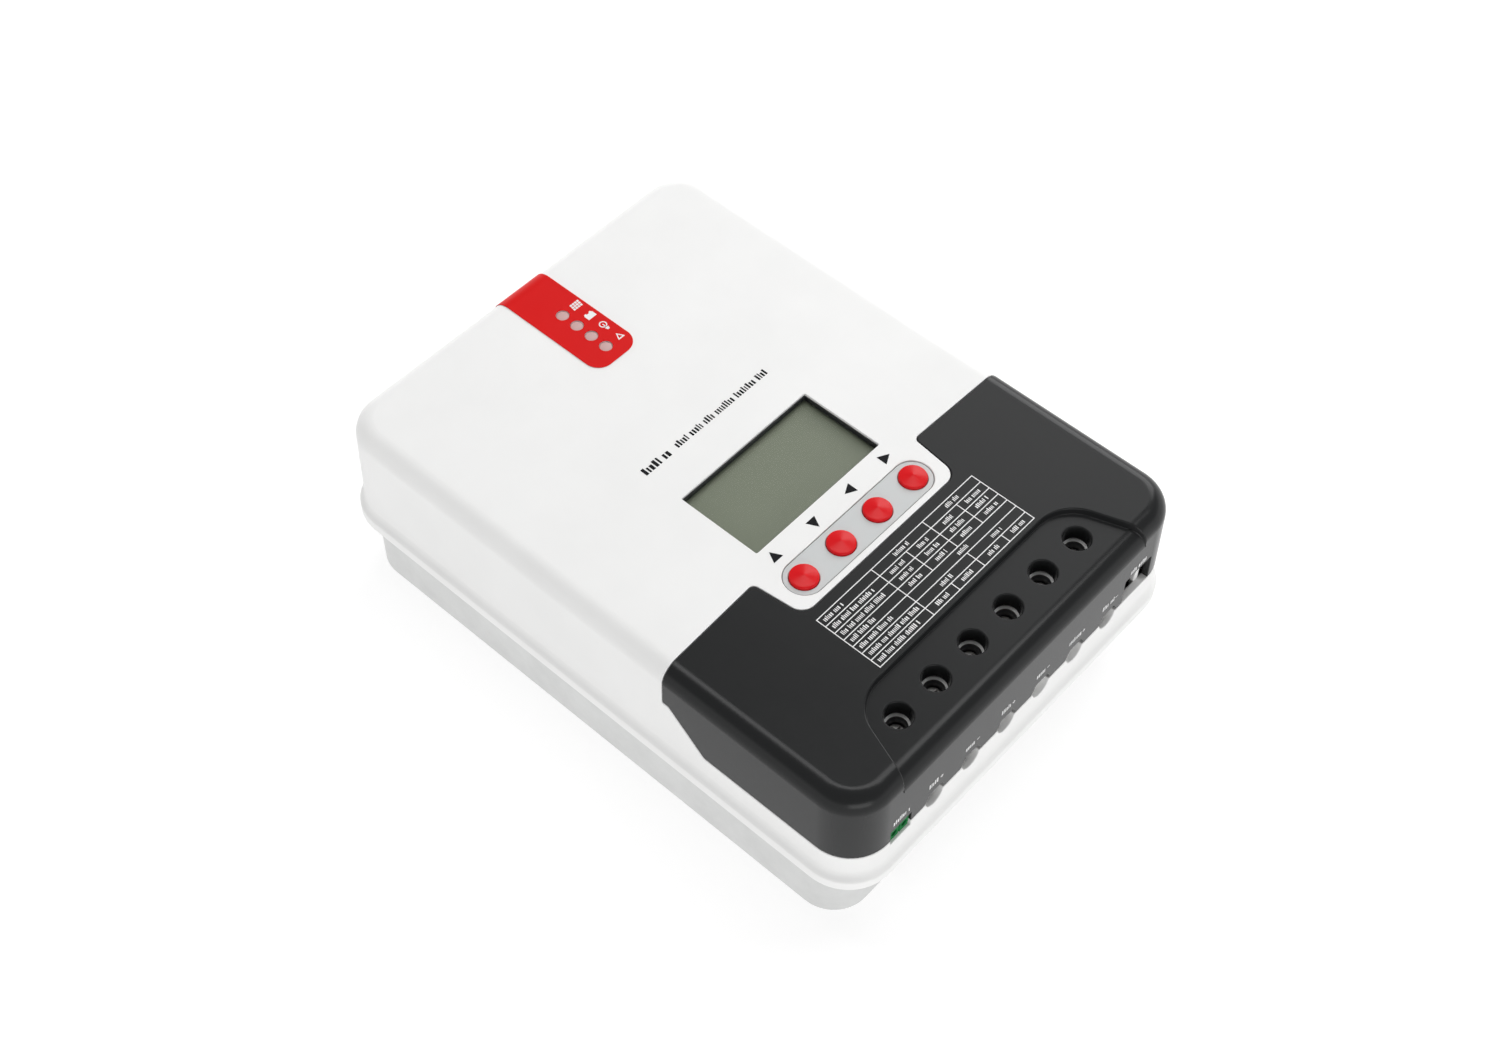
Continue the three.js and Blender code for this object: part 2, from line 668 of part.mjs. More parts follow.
function mosfet(y) {
  const tab = box(65, 80, y - 5, y + 5, SINK_TOP + GAP, SINK_TOP + 1.6);
  return tab.add(box(65, 75, y - 5, y + 5, SINK_TOP + GAP, SINK_TOP + 4.9));
}

function mosfetClamp() {
  return box(67, 72, 12, 72, SINK_TOP + 5.2, SINK_TOP + 8.4);
}

// A flat lead between the two boards, with a plug block at each end
function ribbonCable() {
  const lower = ON_MAIN_BOARD;
  const upper = DISPLAY_BOARD_Z - GAP;
  const lead = prismAlongX(polygon([
    [29, lower + 3], [30, lower + 3], [34, lower + 8], [34, upper - 8], [30, upper - 3], [29, upper - 3],
    [32.8, upper - 8.4], [32.8, lower + 8.4],
  ]), -12, 12);
  return joined(
    lead,
    box(-13, 13, 26.5, 31.5, lower, lower + 4),
    box(-13, 13, 26.5, 31.5, upper - 4, upper),
  );
}

function caseScrew(x, y) {
  const body = turned(x, y, [
    [0, 11], [3.6, 11], [4, 11.6], [4, 14.2], [1.95, 14.2], [1.95, 31], [1.5, 31.8], [0, 31.8],
  ], 12);
  return cut(
    body,
    box(x - 2, x + 2, y - 0.45, y + 0.45, 10, 12.6),
    box(x - 0.45, x + 0.45, y - 2, y + 2, 10, 12.6),
  );
}

// A small screw whose head lies on one side of a board; direction is +1 when its shank points up
function smallScrew(x, y, headZ, direction) {
  const profile = [[0, 0], [2.4, 0], [2.8, 0.5], [2.8, 1.8], [1.4, 1.8], [1.4, 7.6], [0, 8]];
  const placed = profile.map(([r, z]) => [r, headZ + direction * z]);
  if (direction < 0) placed.reverse();
  return turned(x, y, placed, 10);
}

// ---- Assembly -----------------------------------------------------------------------------------

addPart('heat_sink', heatSink(), 'aluminium');
addPart('housing', housing(), 'whitePlastic');
addPart('terminal_cover', terminalCover(), 'blackPlastic');
addPart('status_label', statusLabel(), 'redLabel');
addPart('lcd_lens', lcdLens(), 'clear');
addPart('lcd_module', lcdModule(), 'display');
addPart('display_board', displayBoard(), 'board');
addPart('keypad_plate', keypadPlate(), 'greyPlastic');
KEYS.forEach((x, i) => {
  addPart(KEY_NAMES[i], button(x), 'redPlastic');
  addPart(`key_switch_${i + 1}`, keySwitch(x), 'dark');
});
LEDS.forEach((y, i) => addPart(`status_led_${i + 1}`, statusLed(y), 'lamp'));
addPart('main_board', mainBoard(), 'board');
addPart('terminal_block', terminalBlock(), 'blockPlastic');
POLES.forEach((x, i) => {
  addPart(`clamp_screw_${i + 1}`, clampScrew(x), 'steel');
  addPart(`clamp_cage_${i + 1}`, clampCage(x), 'brass');
  addPart(`contact_bar_${i + 1}`, contactBar(x), 'brass');
});
addPart('temp_socket', tempSocket(), 'green');
addPart('data_socket', dataSocket(), 'dark');
addPart('power_inductor_1', powerInductor(-48, 48), 'copperWire');
addPart('power_inductor_2', powerInductor(-48, -4), 'copperWire');
addPart('capacitor_1', capacitor(20, 66), 'dark');
addPart('capacitor_2', capacitor(42, 66), 'dark');
[22, 42, 62].forEach((y, i) => addPart(`mosfet_${i + 1}`, mosfet(y), 'dark'));
addPart('mosfet_clamp', mosfetClamp(), 'aluminium');
addPart('ribbon_cable', ribbonCable(), 'greyPlastic');
CASE_SCREWS.forEach(([x, y], i) => addPart(`case_screw_${i + 1}`, caseScrew(x, y), 'steel'));
BOARD_SCREWS.forEach(([x, y], i) => {
  addPart(`board_screw_${i + 1}`, smallScrew(x, y, ON_MAIN_BOARD + 1.8, -1), 'steel');
});
DISPLAY_SCREWS.forEach(([x, y], i) => {
  addPart(`display_screw_${i + 1}`, smallScrew(x, y, DISPLAY_BOARD_Z - GAP - 1.8, 1), 'steel');
});

export default group;
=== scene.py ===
# Visual model of a wall-mounted solar charge controller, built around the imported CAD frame.
# Shapes are drawn in millimetres, in the frame's axes, and piece() turns them into metres.

import json
import math
import random

import bmesh
import bpy
from mathutils import Matrix, Vector


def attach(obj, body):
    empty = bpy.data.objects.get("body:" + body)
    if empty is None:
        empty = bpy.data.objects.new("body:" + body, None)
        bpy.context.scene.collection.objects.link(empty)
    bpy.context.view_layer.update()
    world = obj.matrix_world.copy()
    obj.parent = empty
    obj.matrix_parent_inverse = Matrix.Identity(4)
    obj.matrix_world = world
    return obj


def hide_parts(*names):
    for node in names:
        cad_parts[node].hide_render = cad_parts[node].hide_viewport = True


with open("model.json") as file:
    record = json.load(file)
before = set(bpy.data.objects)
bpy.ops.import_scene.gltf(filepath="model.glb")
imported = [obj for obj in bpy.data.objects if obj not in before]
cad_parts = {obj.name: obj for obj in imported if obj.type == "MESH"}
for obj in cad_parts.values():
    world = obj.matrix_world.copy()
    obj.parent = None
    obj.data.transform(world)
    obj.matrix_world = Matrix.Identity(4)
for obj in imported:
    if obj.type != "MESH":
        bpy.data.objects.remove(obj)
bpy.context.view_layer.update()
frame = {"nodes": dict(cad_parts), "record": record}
MM = 0.001

# ---- Dimensions, as in the CAD part ----------------------------------------------------------------

RIM_HALF_X = 87
RIM_HALF_Y = 118.5
RIM_RADIUS = 18
RIM_BOTTOM = 24.8
LEDGE_Z = 30.2
LEDGE_INSET = 2
# How the wall leaves the rim: heights over LEDGE_Z, and how far in it stands there
LEDGE_CURVE = [
    (-1.4, 0), (-1.1, 0.04), (-0.8, 0.16), (-0.5, 0.35), (-0.1, 0.68),
    (0.3, 1.0), (0.8, 1.34), (1.5, 1.65), (2.4, 1.87), (3.4, LEDGE_INSET),
]
END_DRAFT = 1.5
TOP_Z = 72.5
EDGE_RADIUS = 7
WALL = 2.6
SEAM = 0.25

SINK_HALF_X = 83.7
SINK_HALF_Y = 111
SINK_RADIUS = 14
SINK_TOP = 27.2
SINK_WALL = 3.7
PLATE_BOTTOM = 20
FIN_PITCH = 9
FIN_COUNT = 17
FIN_TIP_Z = 1.5
PAD_INNER_X = 57
PAD_INNER_Y = 85
SLOT_X = 73.5
SLOT_Y = 90

COVER_EDGE_Z = 41.5
EAR_BOTTOM_Z = 55.6
EAR_Y = -34.2
EAR_DROP = 2
NOTCH_HALF = 38.8
NOTCH_Y = -54
NOTCH_RADIUS = 5.5
PANEL_Z = 70
PANEL_BACK_Y = -86.4
PANEL_CORNER_X = 52.5
PANEL_FRONT_X = 68.2
PANEL_RADIUS = 16

POLES = [-46, -27.6, -9.2, 9.2, 27.6, 46]
POLE_Y = -98.5
ACCESS_RADIUS = 4.8
BORE_FOOT_RADIUS = 4.25
BLOCK_TOP = 64
BLOCK_HALF = 52.2
BLOCK_FRONT_Y = -111.4
BLOCK_BACK_Y = -86
WELL_RADIUS = 3.2
SCREW_SEAT = 57
SCREW_TOP = 60.6
# Height of the terminal block's pale top face; below it the block's dark colour is painted shade
PAINTED_SHADE_TOP = 63.35
ENTRY_RADIUS = 4.3
TEMP_X = -62.9
TEMP_HALF = 5
DATA_LEFT = 54.2
DATA_RIGHT = 68.8
DATA_TOP = 53.1
POST_X = 65.6

LCD_HALF_X = 30.9
LCD_Y = -10.4
LCD_HALF_Y = 16.5
LENS_BOTTOM = 69
LENS_TOP = 69.6
KEYS = {"up": -27.6, "down": -9.2, "left": 9.2, "right": 27.6}
KEY_Y = -44.2
KEY_RADIUS = 5
PILL_HALF = 34.5
PILL_RADIUS = 7
PLATE_FLANGE = 2
PLATE_FLANGE_TOP = TOP_Z - WALL - 0.3
KEY_FLANGE_TOP = PLATE_FLANGE_TOP - PLATE_FLANGE - 0.3
LED_X = 0.3
LEDS = [91.5, 84.5, 77.5, 70.5]
LED_RADIUS = 2.2
LED_CLEARANCE = 0.2
STRIPE_HALF = 10.2
STRIPE_Y = 63.6
STRIPE_BOTTOM_Z = 50
STRIPE_TOP = 0.28

ON_MAIN_BOARD = 34.9
ON_DISPLAY_BOARD = 60.3
CASE_SCREWS = [(-64, -103), (64, -103), (-64, 103), (64, 103)]
BOARD_SCREWS = [(-68, 76), (55, 76)]
DISPLAY_SCREWS = [(-41, 30), (41, 30)]

CORNER_STEPS = 16
EDGE_STEPS = 14
ROUND_SIDES = 48

# Cutters run between these places to pass right through a wall or past the whole body
OUT_X = 100
OUT_Y = 130
THROUGH_TOP = (60, 80)
THROUGH_FRONT = (-125, -108)

# ---- Solids, in millimetres ------------------------------------------------------------------------


def solid(points, faces):
    """A closed mesh object with its faces turned outwards."""
    mesh = bpy.data.meshes.new("solid")
    mesh.from_pydata([tuple(p) for p in points], [], faces)
    bm = bmesh.new()
    bm.from_mesh(mesh)
    bmesh.ops.recalc_face_normals(bm, faces=bm.faces)
    bm.to_mesh(mesh)
    bm.free()
    obj = bpy.data.objects.new("solid", mesh)
    bpy.context.scene.collection.objects.link(obj)
    return obj


def bake_modifiers(obj):
    """Puts the result of the object's modifiers into its mesh."""
    bpy.context.view_layer.update()
    graph = bpy.context.evaluated_depsgraph_get()
    result = bpy.data.meshes.new_from_object(obj.evaluated_get(graph))
    obj.modifiers.clear()
    before = obj.data
    obj.data = result
    bpy.data.meshes.remove(before)


def boolean(base, others, operation):
    """Changes the base by the other solids, one after the other, and removes those."""
    for other in others:
        modifier = base.modifiers.new("boolean", "BOOLEAN")
        modifier.operation = operation
        modifier.solver = "MANIFOLD"
        modifier.object = other
    bake_modifiers(base)
    for other in others:
        bpy.data.objects.remove(other)
    return base


def cut(base, *others):
    return boolean(base, others, "DIFFERENCE")


def joined(base, *others):
    return boolean(base, others, "UNION")


def common(base, *others):
    return boolean(base, others, "INTERSECT")


def stacked(levels):
    """A solid through outlines of equal length, each (z, points), lowest first."""
    count = len(levels[0][1])
    points = [(x, y, z) for z, outline_points in levels for x, y in outline_points]
    faces = [tuple(range(count)), tuple(range(len(points) - count, len(points)))]
    for level in range(len(levels) - 1):
        low = level * count
        for i in range(count):
            j = (i + 1) % count
            faces.append((low + i, low + j, low + count + j, low + count + i))
    return solid(points, faces)


def swept(outline_points, start, end, axis="Z"):
    """A prism. Its outline is drawn in XY, YZ or XZ for the axis Z, X or Y."""
    place = {
        "Z": lambda u, v, w: (u, v, w),
        "X": lambda u, v, w: (w, u, v),
        "Y": lambda u, v, w: (u, w, v),
    }[axis]
    count = len(outline_points)
    points = [place(u, v, w) for w in (start, end) for u, v in outline_points]
    faces = [tuple(range(count)), tuple(range(count, 2 * count))]
    for i in range(count):
        j = (i + 1) % count
        faces.append((i, j, count + j, count + i))
    return solid(points, faces)


def box(x0, x1, y0, y1, z0, z1):
    return swept([(x0, y0), (x1, y0), (x1, y1), (x0, y1)], z0, z1)


def arc(x, y, radius, start, end, steps):
    """Points of an arc, with its angles in degrees."""
    angles = [math.radians(start + (end - start) * i / steps) for i in range(steps + 1)]
    return [(x + radius * math.cos(a), y + radius * math.sin(a)) for a in angles]


def circle(x, y, radius, sides=ROUND_SIDES):
    return arc(x, y, radius, 0, 360, sides)[:-1]


def rod(x, y, z0, z1, radius, axis="Z"):
    return swept(circle(x, y, radius), z0, z1, axis)


def turned(x, y, profile, sides=ROUND_SIDES):
    """A body of revolution about Z. Its (radius, z) profile starts and ends on the axis, lowest first."""
    points = [(x, y, profile[0][1])]
    for radius, z in profile[1:-1]:
        points += [(px, py, z) for px, py in circle(x, y, radius, sides)]
    points.append((x, y, profile[-1][1]))
    last = len(points) - 1
    faces = []
    for i in range(sides):
        j = (i + 1) % sides
        faces.append((0, 1 + j, 1 + i))
        faces.append((last, last - sides + i, last - sides + j))
        for ring in range(len(profile) - 3):
            low = 1 + ring * sides
            faces.append((low + i, low + j, low + sides + j, low + sides + i))
    return solid(points, faces)


def rounded(half_x, half_y, radius, x=0, y=0, steps=CORNER_STEPS):
    """Points of a rounded rectangle, counter-clockwise from above."""
    corners = [(1, -1, -90), (1, 1, 0), (-1, 1, 90), (-1, -1, 180)]
    points = []
    for sx, sy, start in corners:
        centre_x = x + sx * (half_x - radius)
        centre_y = y + sy * (half_y - radius)
        points += arc(centre_x, centre_y, radius, start, start + 90, steps)
    return points


def filleted(corners, steps=8):
    """Points of a polygon whose corners, each (u, v, radius), are rounded."""
    points = []
    count = len(corners)
    for i, (u, v, radius) in enumerate(corners):
        here = Vector((u, v))
        before = (Vector(corners[i - 1][:2]) - here).normalized()
        after = (Vector(corners[(i + 1) % count][:2]) - here).normalized()
        if radius == 0:
            points.append((u, v))
            continue
        half = before.angle(after) / 2
        centre = here + (before + after).normalized() * (radius / math.sin(half))
        start = here + before * (radius / math.tan(half)) - centre
        end = here + after * (radius / math.tan(half)) - centre
        turn = start.angle_signed(end)
        for k in range(steps + 1):
            spoke = start.copy()
            spoke.rotate(Matrix.Rotation(-turn * k / steps, 2))
            points.append(tuple(centre + spoke))
    return points


# ---- Form of the body ------------------------------------------------------------------------------


def body_outline(z, inset, draft_share, offset):
    """The body's outline at a height, offset inwards. The end walls lean in by END_DRAFT at a share of 1."""
    inset_x = inset + offset
    inset_y = inset + END_DRAFT * draft_share + offset
    radius = max(RIM_RADIUS - inset - offset, 0.8)
    return z, rounded(RIM_HALF_X - inset_x, RIM_HALF_Y - inset_y, radius)


def shoulder(offset):
    """The rounded edge between the walls and the flat top."""
    radius = EDGE_RADIUS - offset
    levels = []
    for i in range(EDGE_STEPS + 1):
        angle = math.radians(90 * i / EDGE_STEPS)
        z = TOP_Z - EDGE_RADIUS + radius * math.sin(angle)
        levels.append(body_outline(z, LEDGE_INSET + radius * (1 - math.cos(angle)), 1, offset))
    return levels


def body_form(offset):
    """The whole body under the cover and the housing, without its hollow."""
    levels = [body_outline(RIM_BOTTOM, 0.4, 0, offset), body_outline(RIM_BOTTOM + 0.4, 0, 0, offset)]
    levels += [body_outline(LEDGE_Z + rise, inset, 0, offset) for rise, inset in LEDGE_CURVE]
    return stacked(levels + shoulder(offset))


def body_hollow():
    return stacked([body_outline(RIM_BOTTOM + WALL, LEDGE_INSET, 0, WALL)] + shoulder(WALL))


def cover_region(grow):
    """The terminal cover's share of the body: two ears beside the keypad, and the lower edge's line."""
    ear_y = EAR_Y + grow
    notch = NOTCH_HALF - grow
    notch_y = NOTCH_Y + grow
    slant = 2.2
    plan = filleted([
        (-OUT_X, -OUT_Y, 0),
        (OUT_X, -OUT_Y, 0),
        (OUT_X, ear_y - EAR_DROP, 0),
        (notch + slant, ear_y, 2.2),
        (notch, notch_y, NOTCH_RADIUS),
        (-notch, notch_y, NOTCH_RADIUS),
        (-notch - slant, ear_y, 2.2),
        (-OUT_X, ear_y - EAR_DROP, 0),
    ], 12)
    side = filleted([
        (-OUT_Y, COVER_EDGE_Z - grow, 0),
        (-53.6 + grow, COVER_EDGE_Z - grow, 2),
        (-38.2 + grow, EAR_BOTTOM_Z - grow, 1.5),
        (-20, EAR_BOTTOM_Z - grow, 0),
        (-20, 90, 0),
        (-OUT_Y, 90, 0),
    ])
    return common(swept(plan, 30, 90), swept(side, -OUT_X, OUT_X, "X"))


def panel_outline(grow):
    """The sunken panel round the access holes, which runs out through the front shoulder."""
    corner = PANEL_CORNER_X + grow
    front = PANEL_FRONT_X + grow
    back = PANEL_BACK_Y + grow
    return filleted([
        (-front, -OUT_Y, 0),
        (front, -OUT_Y, 0),
        (corner, back, PANEL_RADIUS),
        (-corner, back, PANEL_RADIUS),
    ], 16)


# ---- Procedural materials --------------------------------------------------------------------------


class Shader:
    """A material with a Principled surface and a few node helpers."""

    def __init__(self, name, color, roughness, **inputs):
        self.name = name
        self.material = bpy.data.materials.new(name)
        self.material.use_nodes = True
        self.nodes = self.material.node_tree.nodes
        self.links = self.material.node_tree.links
        self.surface = self.nodes["Principled BSDF"]
        self.color = color
        self.surface.inputs["Base Color"].default_value = (*color, 1)
        self.surface.inputs["Roughness"].default_value = roughness
        self.roughness = roughness
        for key, value in inputs.items():
            socket = key.replace("_", " ").title().replace("Ior", "IOR")
            self.surface.inputs[socket].default_value = value
        self.place = self.nodes.new("ShaderNodeTexCoord").outputs["Object"]

    def node(self, kind, links=None, **values):
        """A new node. Each value goes to the input of that name, or else to the node's property."""
        node = self.nodes.new(kind)
        for key, value in values.items():
            if key in node.inputs:
                node.inputs[key].default_value = value
            else:
                setattr(node, key, value)
        for key, source in (links or {}).items():
            self.links.new(source, node.inputs[key])
        return node

    def noise(self, scale, detail=3.0):
        node = self.node("ShaderNodeTexNoise", {"Vector": self.place}, Scale=scale, Detail=detail)
        return node.outputs["Fac"]

    def ranged(self, source, low, high):
        """The middle range of a noise, stretched from low to high."""
        node = self.node("ShaderNodeMapRange", {"Value": source})
        node.inputs["From Min"].default_value = 0.3
        node.inputs["From Max"].default_value = 0.7
        node.inputs["To Min"].default_value = low
        node.inputs["To Max"].default_value = high
        return node.outputs["Result"]

    def ramp(self, source, *stops):
        """Colours the surface by the source, between two (position, colour) stops."""
        node = self.node("ShaderNodeValToRGB", {"Fac": source})
        for element, (position, color) in zip(node.color_ramp.elements, stops):
            element.position = position
            element.color = (*color, 1)
        self.links.new(node.outputs["Color"], self.surface.inputs["Base Color"])
        return self

    def mottle(self, scale, amount):
        """Slight variation of the colour, by amount either way."""
        low = [max(c * (1 - amount), 0) for c in self.color]
        high = [min(c * (1 + amount), 1) for c in self.color]
        return self.ramp(self.noise(scale), (0.3, low), (0.7, high))

    def vary_roughness(self, scale, amount):
        value = self.ranged(self.noise(scale), self.roughness - amount, self.roughness + amount)
        self.links.new(value, self.surface.inputs["Roughness"])
        return self

    def grain(self, scale, strength, distance=0.00005, height=None):
        """Fine relief from noise, or from the given height."""
        source = height or self.noise(scale, 2.0)
        bump = self.node("ShaderNodeBump", {"Height": source}, Strength=strength, Distance=distance)
        self.links.new(bump.outputs["Normal"], self.surface.inputs["Normal"])
        return self


def moulded(name, color, roughness, grain, scale=2600, gloss=0.03, **inputs):
    """Moulded plastic: fine grain, slight flow mottling and patches of more or less gloss."""
    shader = Shader(name, color, roughness, **inputs)
    return shader.mottle(35, 0.015).vary_roughness(160, gloss).grain(scale, grain)


def metal(name, color, roughness, grain, scale=1800):
    shader = Shader(name, color, roughness, metallic=1.0)
    return shader.mottle(220, 0.06).vary_roughness(420, 0.06).grain(scale, grain)


def cast_aluminium():
    shader = Shader("cast_aluminium", (0.69, 0.695, 0.69), 0.5, metallic=0.6)
    return shader.mottle(90, 0.035).vary_roughness(300, 0.06).grain(1500, 0.25)


def circuit_board():
    """Green solder mask over a web of copper tracks."""
    mask = (0.012, 0.085, 0.03)
    track = (0.03, 0.17, 0.06)
    shader = Shader("circuit_board", mask, 0.35)
    cells = shader.node("ShaderNodeTexVoronoi", {"Vector": shader.place}, Scale=260.0,
                        feature="DISTANCE_TO_EDGE", distance="CHEBYCHEV")
    shader.ramp(cells.outputs["Distance"], (0.04, track), (0.08, mask))
    return shader.grain(0, 0.4, 0.00004, cells.outputs["Distance"])


def copper_winding():
    """Enamelled wire: close bands over the ring."""
    shader = Shader("copper_winding", (0.42, 0.15, 0.05), 0.3, metallic=0.7)
    bands = shader.node("ShaderNodeTexWave", {"Vector": shader.place}, Scale=130.0, Distortion=1.5)
    bands.inputs["Detail Scale"].default_value = 40
    return shader.mottle(300, 0.15).grain(0, 0.8, 0.0003, bands.outputs["Fac"])


def display_glass():
    """Unlit reflective display: an even greenish grey with a faint fine pattern of its cells."""
    tint = (0.39, 0.435, 0.315)
    sizes = {"Brick Width": 0.0011, "Row Height": 0.0011, "Mortar Size": 0.00012}
    colors = {"Color1": tint, "Color2": (0.382, 0.427, 0.309), "Mortar": (0.37, 0.415, 0.30)}
    shader = Shader("lcd_glass", tint, 0.35)
    cells = shader.node("ShaderNodeTexBrick", {"Vector": shader.place}, Scale=1.0)
    cells.offset = 0
    for key, size in sizes.items():
        cells.inputs[key].default_value = size
    for key, color in colors.items():
        cells.inputs[key].default_value = (*color, 1)
    shader.links.new(cells.outputs["Color"], shader.surface.inputs["Base Color"])
    return shader.vary_roughness(60, 0.05)


def block_plastic():
    """Terminal block: pale plastic, painted dark below the height where its pale top face starts, as painted
    shade of the deep screw wells.
    """
    # Painted shade: this dark colour, on all of the block below its pale top face, stands in for the shadow
    # deep in the screw wells and chambers
    dark = (0.03, 0.03, 0.032)
    pale = (0.80, 0.80, 0.79)
    step = 0.02 * MM
    shader = Shader("block_plastic", pale, 0.4)
    height = shader.node("ShaderNodeSeparateXYZ", {"Vector": shader.place}).outputs["Z"]
    level = shader.node("ShaderNodeMapRange", {"Value": height})
    level.inputs["From Min"].default_value = PAINTED_SHADE_TOP * MM - step
    level.inputs["From Max"].default_value = PAINTED_SHADE_TOP * MM + step
    shader.ramp(level.outputs["Result"], (0, dark), (1, pale))
    return shader.vary_roughness(160, 0.03).grain(2200, 0.12)


def ribbon():
    """The ribbon lead's parallel strands."""
    shader = Shader("ribbon_grey", (0.45, 0.46, 0.46), 0.5)
    strands = shader.node("ShaderNodeTexWave", {"Vector": shader.place}, Scale=250.0)
    return shader.mottle(60, 0.04).grain(0, 0.8, 0.0003, strands.outputs["Fac"])


MATERIALS = {shader.name: shader.material for shader in (
    cast_aluminium(),
    moulded("white_plastic", (0.89, 0.89, 0.883), 0.4, 0.08, specular_ior_level=0.2),
    moulded("black_plastic", (0.018, 0.0187, 0.0192), 0.22, 0.05, 2200, 0.006, ior=1.28),
    moulded("grey_plastic", (0.58, 0.60, 0.60), 0.5, 0.08),
    block_plastic(),
    moulded("red_button", (0.70, 0.010, 0.014), 0.24, 0.03, specular_ior_level=0.14),
    moulded("red_overlay", (0.67, 0.007, 0.007), 0.4, 0.05, specular_ior_level=0.12),
    moulded("clear_window", (0.05, 0.06, 0.05), 0.08, 0.01, alpha=0.18, specular_ior_level=0.15),
    display_glass(),
    circuit_board(),
    moulded("green_plastic", (0.012, 0.17, 0.045), 0.6, 0.08, specular_ior_level=0.05),
    moulded("black_component", (0.016, 0.016, 0.018), 0.38, 0.25),
    moulded("lamp_lens", (0.62, 0.40, 0.385), 0.25, 0.1, 1500),
    metal("screw_steel", (0.50, 0.49, 0.48), 0.36, 0.25),
    metal("brass", (0.75, 0.56, 0.24), 0.3, 0.2),
    copper_winding(),
)}
WHITE_INK = moulded("white_ink", (0.86, 0.86, 0.86), 0.5, 0.06).material
BLACK_INK = moulded("black_ink", (0.008, 0.008, 0.01), 0.6, 0.06, specular_ior_level=0.1).material
DARK_LINING = moulded("dark_lining", (0.012, 0.013, 0.016), 0.45, 0.1).material
GOLD = metal("contact_gold", (0.85, 0.62, 0.22), 0.2, 0.1).material
RIBBON = ribbon().material

# ---- Finishing a piece -----------------------------------------------------------------------------

SMOOTH_BELOW = math.radians(32)


def piece(name, obj, slot, replaced=(), body="case", edge=0.0, material=None):
    """Rounds the edges, turns millimetres into metres, and puts the piece in place of its CAD nodes.

    The slot names a CAD material, and gives the piece its look unless a material is given.
    """
    obj.name = name
    obj.data.name = name
    obj.data.shade_smooth()
    obj.data.set_sharp_from_angle(angle=SMOOTH_BELOW)
    if edge:
        bevel = obj.modifiers.new("bevel", "BEVEL")
        bevel.width = edge
        bevel.segments = 2
        bevel.limit_method = "ANGLE"
        bevel.angle_limit = SMOOTH_BELOW
        bevel.use_clamp_overlap = False
        bevel.harden_normals = True
    weighted = obj.modifiers.new("normals", "WEIGHTED_NORMAL")
    weighted.keep_sharp = True
    bake_modifiers(obj)
    obj.data.transform(Matrix.Scale(MM, 4))
    obj.data.materials.clear()
    obj.data.materials.append(material or MATERIALS[slot])
    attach(obj, body)
    if replaced:
        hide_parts(*replaced)
    return obj


# ---- Housing, cover and heat sink ------------------------------------------------------------------


def cable_entries():
    return [swept(circle(x, COVER_EDGE_Z, ENTRY_RADIUS), *THROUGH_FRONT, "Y") for x in POLES]


def cable_lips():
    """Half-round lips inside the housing's wall that carry the cables to the terminal block."""
    lips = []
    for x in POLES:
        lip = swept(circle(x, COVER_EDGE_Z, ENTRY_RADIUS + 1.2), -114.2, BLOCK_FRONT_Y - 0.3, "Y")
        lips.append(common(lip, box(x - 6, x + 6, -115, -110, 30, COVER_EDGE_Z - 0.3)))
    return lips


def temp_notch(z0, z1):
    return box(TEMP_X - TEMP_HALF, TEMP_X + TEMP_HALF, *THROUGH_FRONT, z0, z1)


def led_holes():
    return [rod(LED_X, y, *THROUGH_TOP, LED_RADIUS + LED_CLEARANCE) for y in LEDS]


def housing():
    """The white shell, with its bosses for the case screws and the display's screws."""
    window = rounded(LCD_HALF_X, LCD_HALF_Y, 0.6, 0, LCD_Y, 4)
    pill = rounded(PILL_HALF + 0.25, PILL_RADIUS + 0.25, PILL_RADIUS + 0.2, 0, KEY_Y)
    sink_opening = rounded(SINK_HALF_X + 0.5, SINK_HALF_Y + 0.5, SINK_RADIUS + 0.5)
    body = cut(
        body_form(0),
        body_hollow(),
        swept(sink_opening, RIM_BOTTOM - 1, RIM_BOTTOM + WALL + 0.5),
        cover_region(SEAM),
        swept(window, *THROUGH_TOP),
        swept(pill, *THROUGH_TOP),
        temp_notch(COVER_EDGE_Z - 2.4, 50),
        *led_holes(),
    )
    body = cut(joined(body, *cable_lips()), *cable_entries())
    for x, y in CASE_SCREWS:
        wall_y = math.copysign(RIM_HALF_Y - LEDGE_INSET - 1, y)
        rib = box(x - 1.2, x + 1.2, min(y, wall_y), max(y, wall_y), SINK_TOP + 0.5, 32.2)
        body = joined(body, rod(x, y, SINK_TOP + 0.3, 32.4, 4.4), rib)
        body = cut(body, rod(x, y, 26, 33, 2.3))
    for x, y in DISPLAY_SCREWS:
        body = joined(body, rod(x, y, ON_DISPLAY_BOARD, TOP_Z - 1, 3.4))
        body = cut(body, rod(x, y, 58, TOP_Z - 3.5, 1.7))
    return body


def access_bore(x):
    """Cutter for one screw access: a slightly tapered bore with a rounded mouth in the sunken panel."""
    return turned(x, POLE_Y, [
        (0, BLOCK_TOP - 1),
        (BORE_FOOT_RADIUS, BLOCK_TOP - 1),
        (BORE_FOOT_RADIUS, BLOCK_TOP + 1),
        (ACCESS_RADIUS, PANEL_Z - 1),
        (ACCESS_RADIUS, PANEL_Z - 0.5),
        (ACCESS_RADIUS + 0.15, PANEL_Z - 0.15),
        (ACCESS_RADIUS + 0.5, PANEL_Z),
        (ACCESS_RADIUS + 0.5, TOP_Z),
        (0, TOP_Z),
    ])


